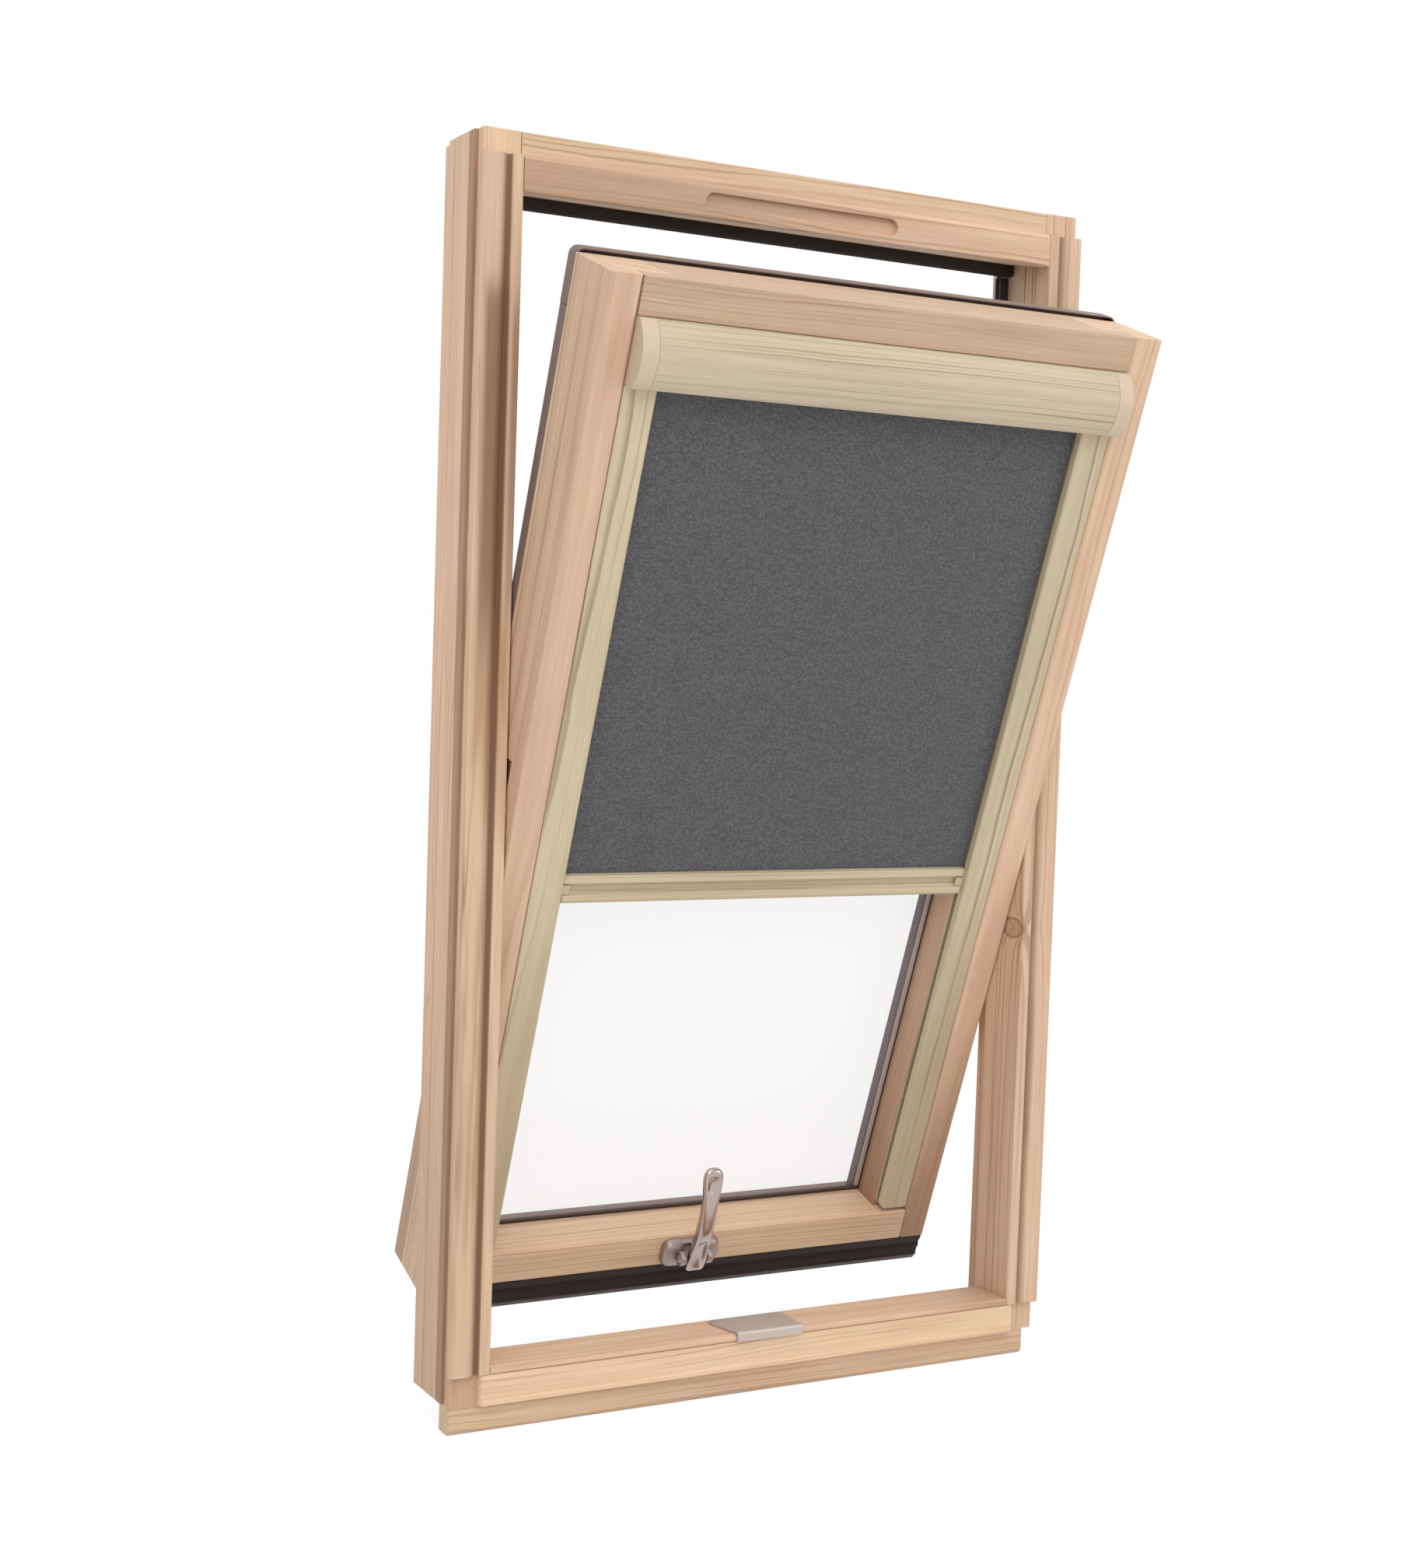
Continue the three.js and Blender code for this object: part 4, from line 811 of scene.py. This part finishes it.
def makeBase(material):
    bm = bmesh.new()

    def blob(aside, up, wide, deep, high, power, notch=0.0):
        # a rounded block, flat where it meets the rail and where it faces the lever
        ball = bmesh.ops.create_icosphere(bm, subdivisions=base["subdivisions"], radius=1.0)
        for vert in ball["verts"]:
            size = sum(abs(part) ** power for part in vert.co) ** (1 / power)
            spot = vert.co / size
            x = aside + spot.x * wide
            if notch:
                x = math.copysign(max(abs(x), notch), aside)
            y = min(base["back"] + spot.y * deep, base["back"])
            vert.co = sashPlace @ Vector((handle["aside"] + x, y, up + spot.z * high))
    middle, lobe = base["middle"], base["lobe"]
    for way in (-1, 1):
        blob(way * lobe["aside"], middle, lobe["wide"], lobe["proud"], lobe["high"],
             base["lobePower"], base["notch"])
    for part in (base["bridge"], base["floor"]):
        blob(0, middle + (part["low"] + part["high"]) / 2, part["wide"], part["proud"],
             (part["high"] - part["low"]) / 2, base["blockPower"])
    piece = addMesh("cast_base", bm, material)
    skin = piece.modifiers.new("skin", "REMESH")
    skin.mode = "VOXEL"
    skin.voxel_size = base["voxel"]
    skin.use_smooth_shade = True
    relax = piece.modifiers.new("relax", "SMOOTH")
    relax.factor = base["relax"]["factor"]
    relax.iterations = base["relax"]["iterations"]
    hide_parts("handle_base", "handle_screw_left", "handle_screw_right")
    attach(piece, "sash")


makeBase(dullNickel)


def joinRings(bm, rings):
    # faces from each ring of points to the next; a ring of one point closes an end
    around = max(len(ring) for ring in rings)
    for first, second in zip(rings, rings[1:]):
        for k in range(around):
            ends = first[k % len(first)], first[(k + 1) % len(first)]
            others = second[(k + 1) % len(second)], second[k % len(second)]
            bm.faces.new(list(dict.fromkeys(ends + others)))


# The lever, section by section from its lower end: where it is as a share of the length, half
# its width, its front and its back from the pivot axis, and how deep its front is sunk. Below
# zero the front is arched.
lever = {
    "length": 0.11,
    "around": 44,
    "squareness": 0.75,  # 1 is an ellipse, less is squarer
    "rims": 0.72,  # where the sunk part ends, as a share of half the width
    "bowlFrom": 0.5,  # a channel below this share of the length, a bowl in the head above
    "channelPower": 4,
    "bowlPower": 2,
    "sinkSlope": 1.6,
    "sections": (
        (-0.128, 0.0056, -0.1055, -0.1013, 0.0), (-0.12, 0.009, -0.108, -0.1007, 0.001),
        (-0.09, 0.0104, -0.1106, -0.1, 0.0045), (0.0, 0.0106, -0.1124, -0.0995, 0.0078),
        (0.08, 0.0099, -0.1138, -0.0998, 0.009), (0.195, 0.0088, -0.1154, -0.1003, 0.0086),
        (0.225, 0.0086, -0.1161, -0.1006, 0.001), (0.3, 0.0085, -0.1166, -0.1015, -0.0008),
        (0.4, 0.0085, -0.1168, -0.1025, -0.001), (0.5, 0.0085, -0.116, -0.103, -0.0008),
        (0.6, 0.0087, -0.1146, -0.103, -0.0004), (0.69, 0.0092, -0.113, -0.1018, 0.0),
        (0.735, 0.0096, -0.1122, -0.101, 0.0014), (0.77, 0.0102, -0.1114, -0.1003, 0.0042),
        (0.85, 0.011, -0.1096, -0.0988, 0.0046), (0.89, 0.0109, -0.1084, -0.0985, 0.0016),
        (0.92, 0.0101, -0.1072, -0.0984, 0.0), (0.95, 0.0078, -0.1054, -0.0985, 0.0),
        (0.965, 0.0046, -0.1038, -0.0992, 0.0),
    ),
}


def makeLever(material):
    around, power = lever["around"], lever["squareness"]
    bm = bmesh.new()
    rings = []
    for share, wide, front, back, sunk in lever["sections"]:
        up = handle["axis"] + lever["length"] * share
        middle, thick = (front + back) / 2, (back - front) / 2
        hollow = lever["channelPower"] if share < lever["bowlFrom"] else lever["bowlPower"]
        ring = []
        for k in range(around):
            angle = 2 * math.pi * (k + 0.5) / around
            x, y = math.sin(angle), -math.cos(angle)
            x = math.copysign(abs(x) ** power, x)
            y = math.copysign(abs(y) ** power, y)
            out = middle + thick * y
            if y < 0:
                # the front sinks between two rims
                across = max(0.0, 1 - (abs(x) / lever["rims"]) ** hollow)
                out += sunk * across * min(1.0, -y * lever["sinkSlope"])
            ring.append(bm.verts.new(sashPlace @ Vector((handle["aside"] + wide * x, out, up))))
        rings.append(ring)
    joinRings(bm, rings)
    bm.faces.new(rings[0])
    bm.faces.new(rings[-1])
    bmesh.ops.recalc_face_normals(bm, faces=bm.faces)
    piece = addMesh("pull_lever", bm, material)
    soften = piece.modifiers.new("soften", "SUBSURF")
    soften.levels = 1
    soften.render_levels = 1
    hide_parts("handle_lever")
    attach(piece, "lever")


makeLever(nickel)

# The pin with the round boss at each end that holds it: places along half of it, and radii.
pin = {
    "out": -0.102,
    "around": 28,
    "profile": ((0.0, 0.0024), (0.0121, 0.0024), (0.0121, 0.007), (0.0127, 0.0076),
                (0.0172, 0.0076), (0.0182, 0.0071), (0.0185, 0.0064), (0.0181, 0.0058),
                (0.0172, 0.0053), (0.0176, 0.0047), (0.019, 0.0038), (0.0198, 0.0024),
                (0.0201, 0.0)),
}


def makePin(material):
    around, half = pin["around"], pin["profile"]
    bm = bmesh.new()
    line = [(-x, r) for x, r in reversed(half)] + list(half[1:])
    rings = []
    for x, radius in line:
        ring = []
        for k in range(around if radius else 1):
            angle = 2 * math.pi * k / around
            out = pin["out"] + radius * math.cos(angle)
            up = handle["axis"] + radius * math.sin(angle)
            ring.append(bm.verts.new(sashPlace @ Vector((handle["aside"] + x, out, up))))
        rings.append(ring)
    joinRings(bm, rings)
    bmesh.ops.recalc_face_normals(bm, faces=bm.faces)
    piece = addMesh("ear_pin", bm, material)
    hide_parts("handle_pin")
    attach(piece, "sash")


makePin(dullNickel)
print("handle done")

# Studio: white all round, one wide lamp above, a key lamp and a fill.
studio = {
    "white": (1, 1, 1, 1),
    "ambient": 0.7,
    "seen": 1.0,  # how bright the white is that is looked at
    "floorColour": (0.8, 0.8, 0.8, 1),
    "floorShare": 0.8,
    "floorGlow": 1.112,
    "floorHalf": 9,
    "aim": (0, 0, 0.6),
    "lamps": {
        "key": dict(spot=(-1.4, -3.0, 2.9), size=2.4, power=34),
        "fill": dict(spot=(2.8, -2.4, 1.6), size=2.2, power=18),
        "top": dict(spot=(0.2, -1.2, 7.0), size=4.5, power=126),
    },
}


def seenDirectly(wiring):
    # 1 where it is looked at, also as a reflection or through glass, 0 where it only lights
    path = wiring.node("ShaderNodeLightPath")
    seen = path.output("Is Camera Ray")
    for name in ("Is Glossy Ray", "Is Transmission Ray"):
        seen = wiring.sums("MAXIMUM", seen, path.output(name))
    return seen


def setWorld():
    world = bpy.data.worlds.new("studio")
    scene.world = world
    world.use_nodes = True
    wiring = Wiring(world.node_tree)
    plain = wiring.tree.nodes["Background"]
    plain.inputs["Color"].default_value = studio["white"]
    plain.inputs["Strength"].default_value = studio["ambient"]
    bright = wiring.node("ShaderNodeBackground", {}, {
        "Color": studio["white"], "Strength": studio["seen"]})
    both = wiring.node("ShaderNodeMixShader", {}, {
        0: seenDirectly(wiring), 1: Flow(wiring, plain.outputs[0]), 2: bright})
    wiring.tree.links.new(both.socket, wiring.tree.nodes["World Output"].inputs[0])


def setFloor():
    material = bpy.data.materials.new("floor")
    material.use_nodes = True
    wiring = Wiring(material.node_tree)
    wiring.tree.nodes.remove(wiring.tree.nodes["Principled BSDF"])
    matt = wiring.node("ShaderNodeBsdfDiffuse", {}, {"Color": studio["floorColour"]})
    glow = wiring.node("ShaderNodeEmission", {}, {"Strength": studio["floorGlow"]})
    share = seenDirectly(wiring) * studio["floorShare"]
    both = wiring.node("ShaderNodeMixShader", {}, {0: share, 1: matt, 2: glow})
    wiring.tree.links.new(both.socket, wiring.tree.nodes["Material Output"].inputs[0])
    bm = bmesh.new()
    bmesh.ops.create_grid(bm, x_segments=1, y_segments=1, size=studio["floorHalf"])
    floor = addMesh("floor", bm, material)


def setLamp(name, spot, size, power):
    lamp = bpy.data.lights.new(name, "AREA")
    lamp.size = size
    lamp.energy = power
    holder = bpy.data.objects.new(name, lamp)
    holder.location = spot
    aim = Vector(studio["aim"]) - Vector(spot)
    holder.rotation_euler = aim.to_track_quat("-Z", "Y").to_euler()
    scene.collection.objects.link(holder)


setWorld()
setFloor()
for name, lamp in studio["lamps"].items():
    setLamp(name, **lamp)
scene.view_settings.view_transform = "Standard"
print("studio done")
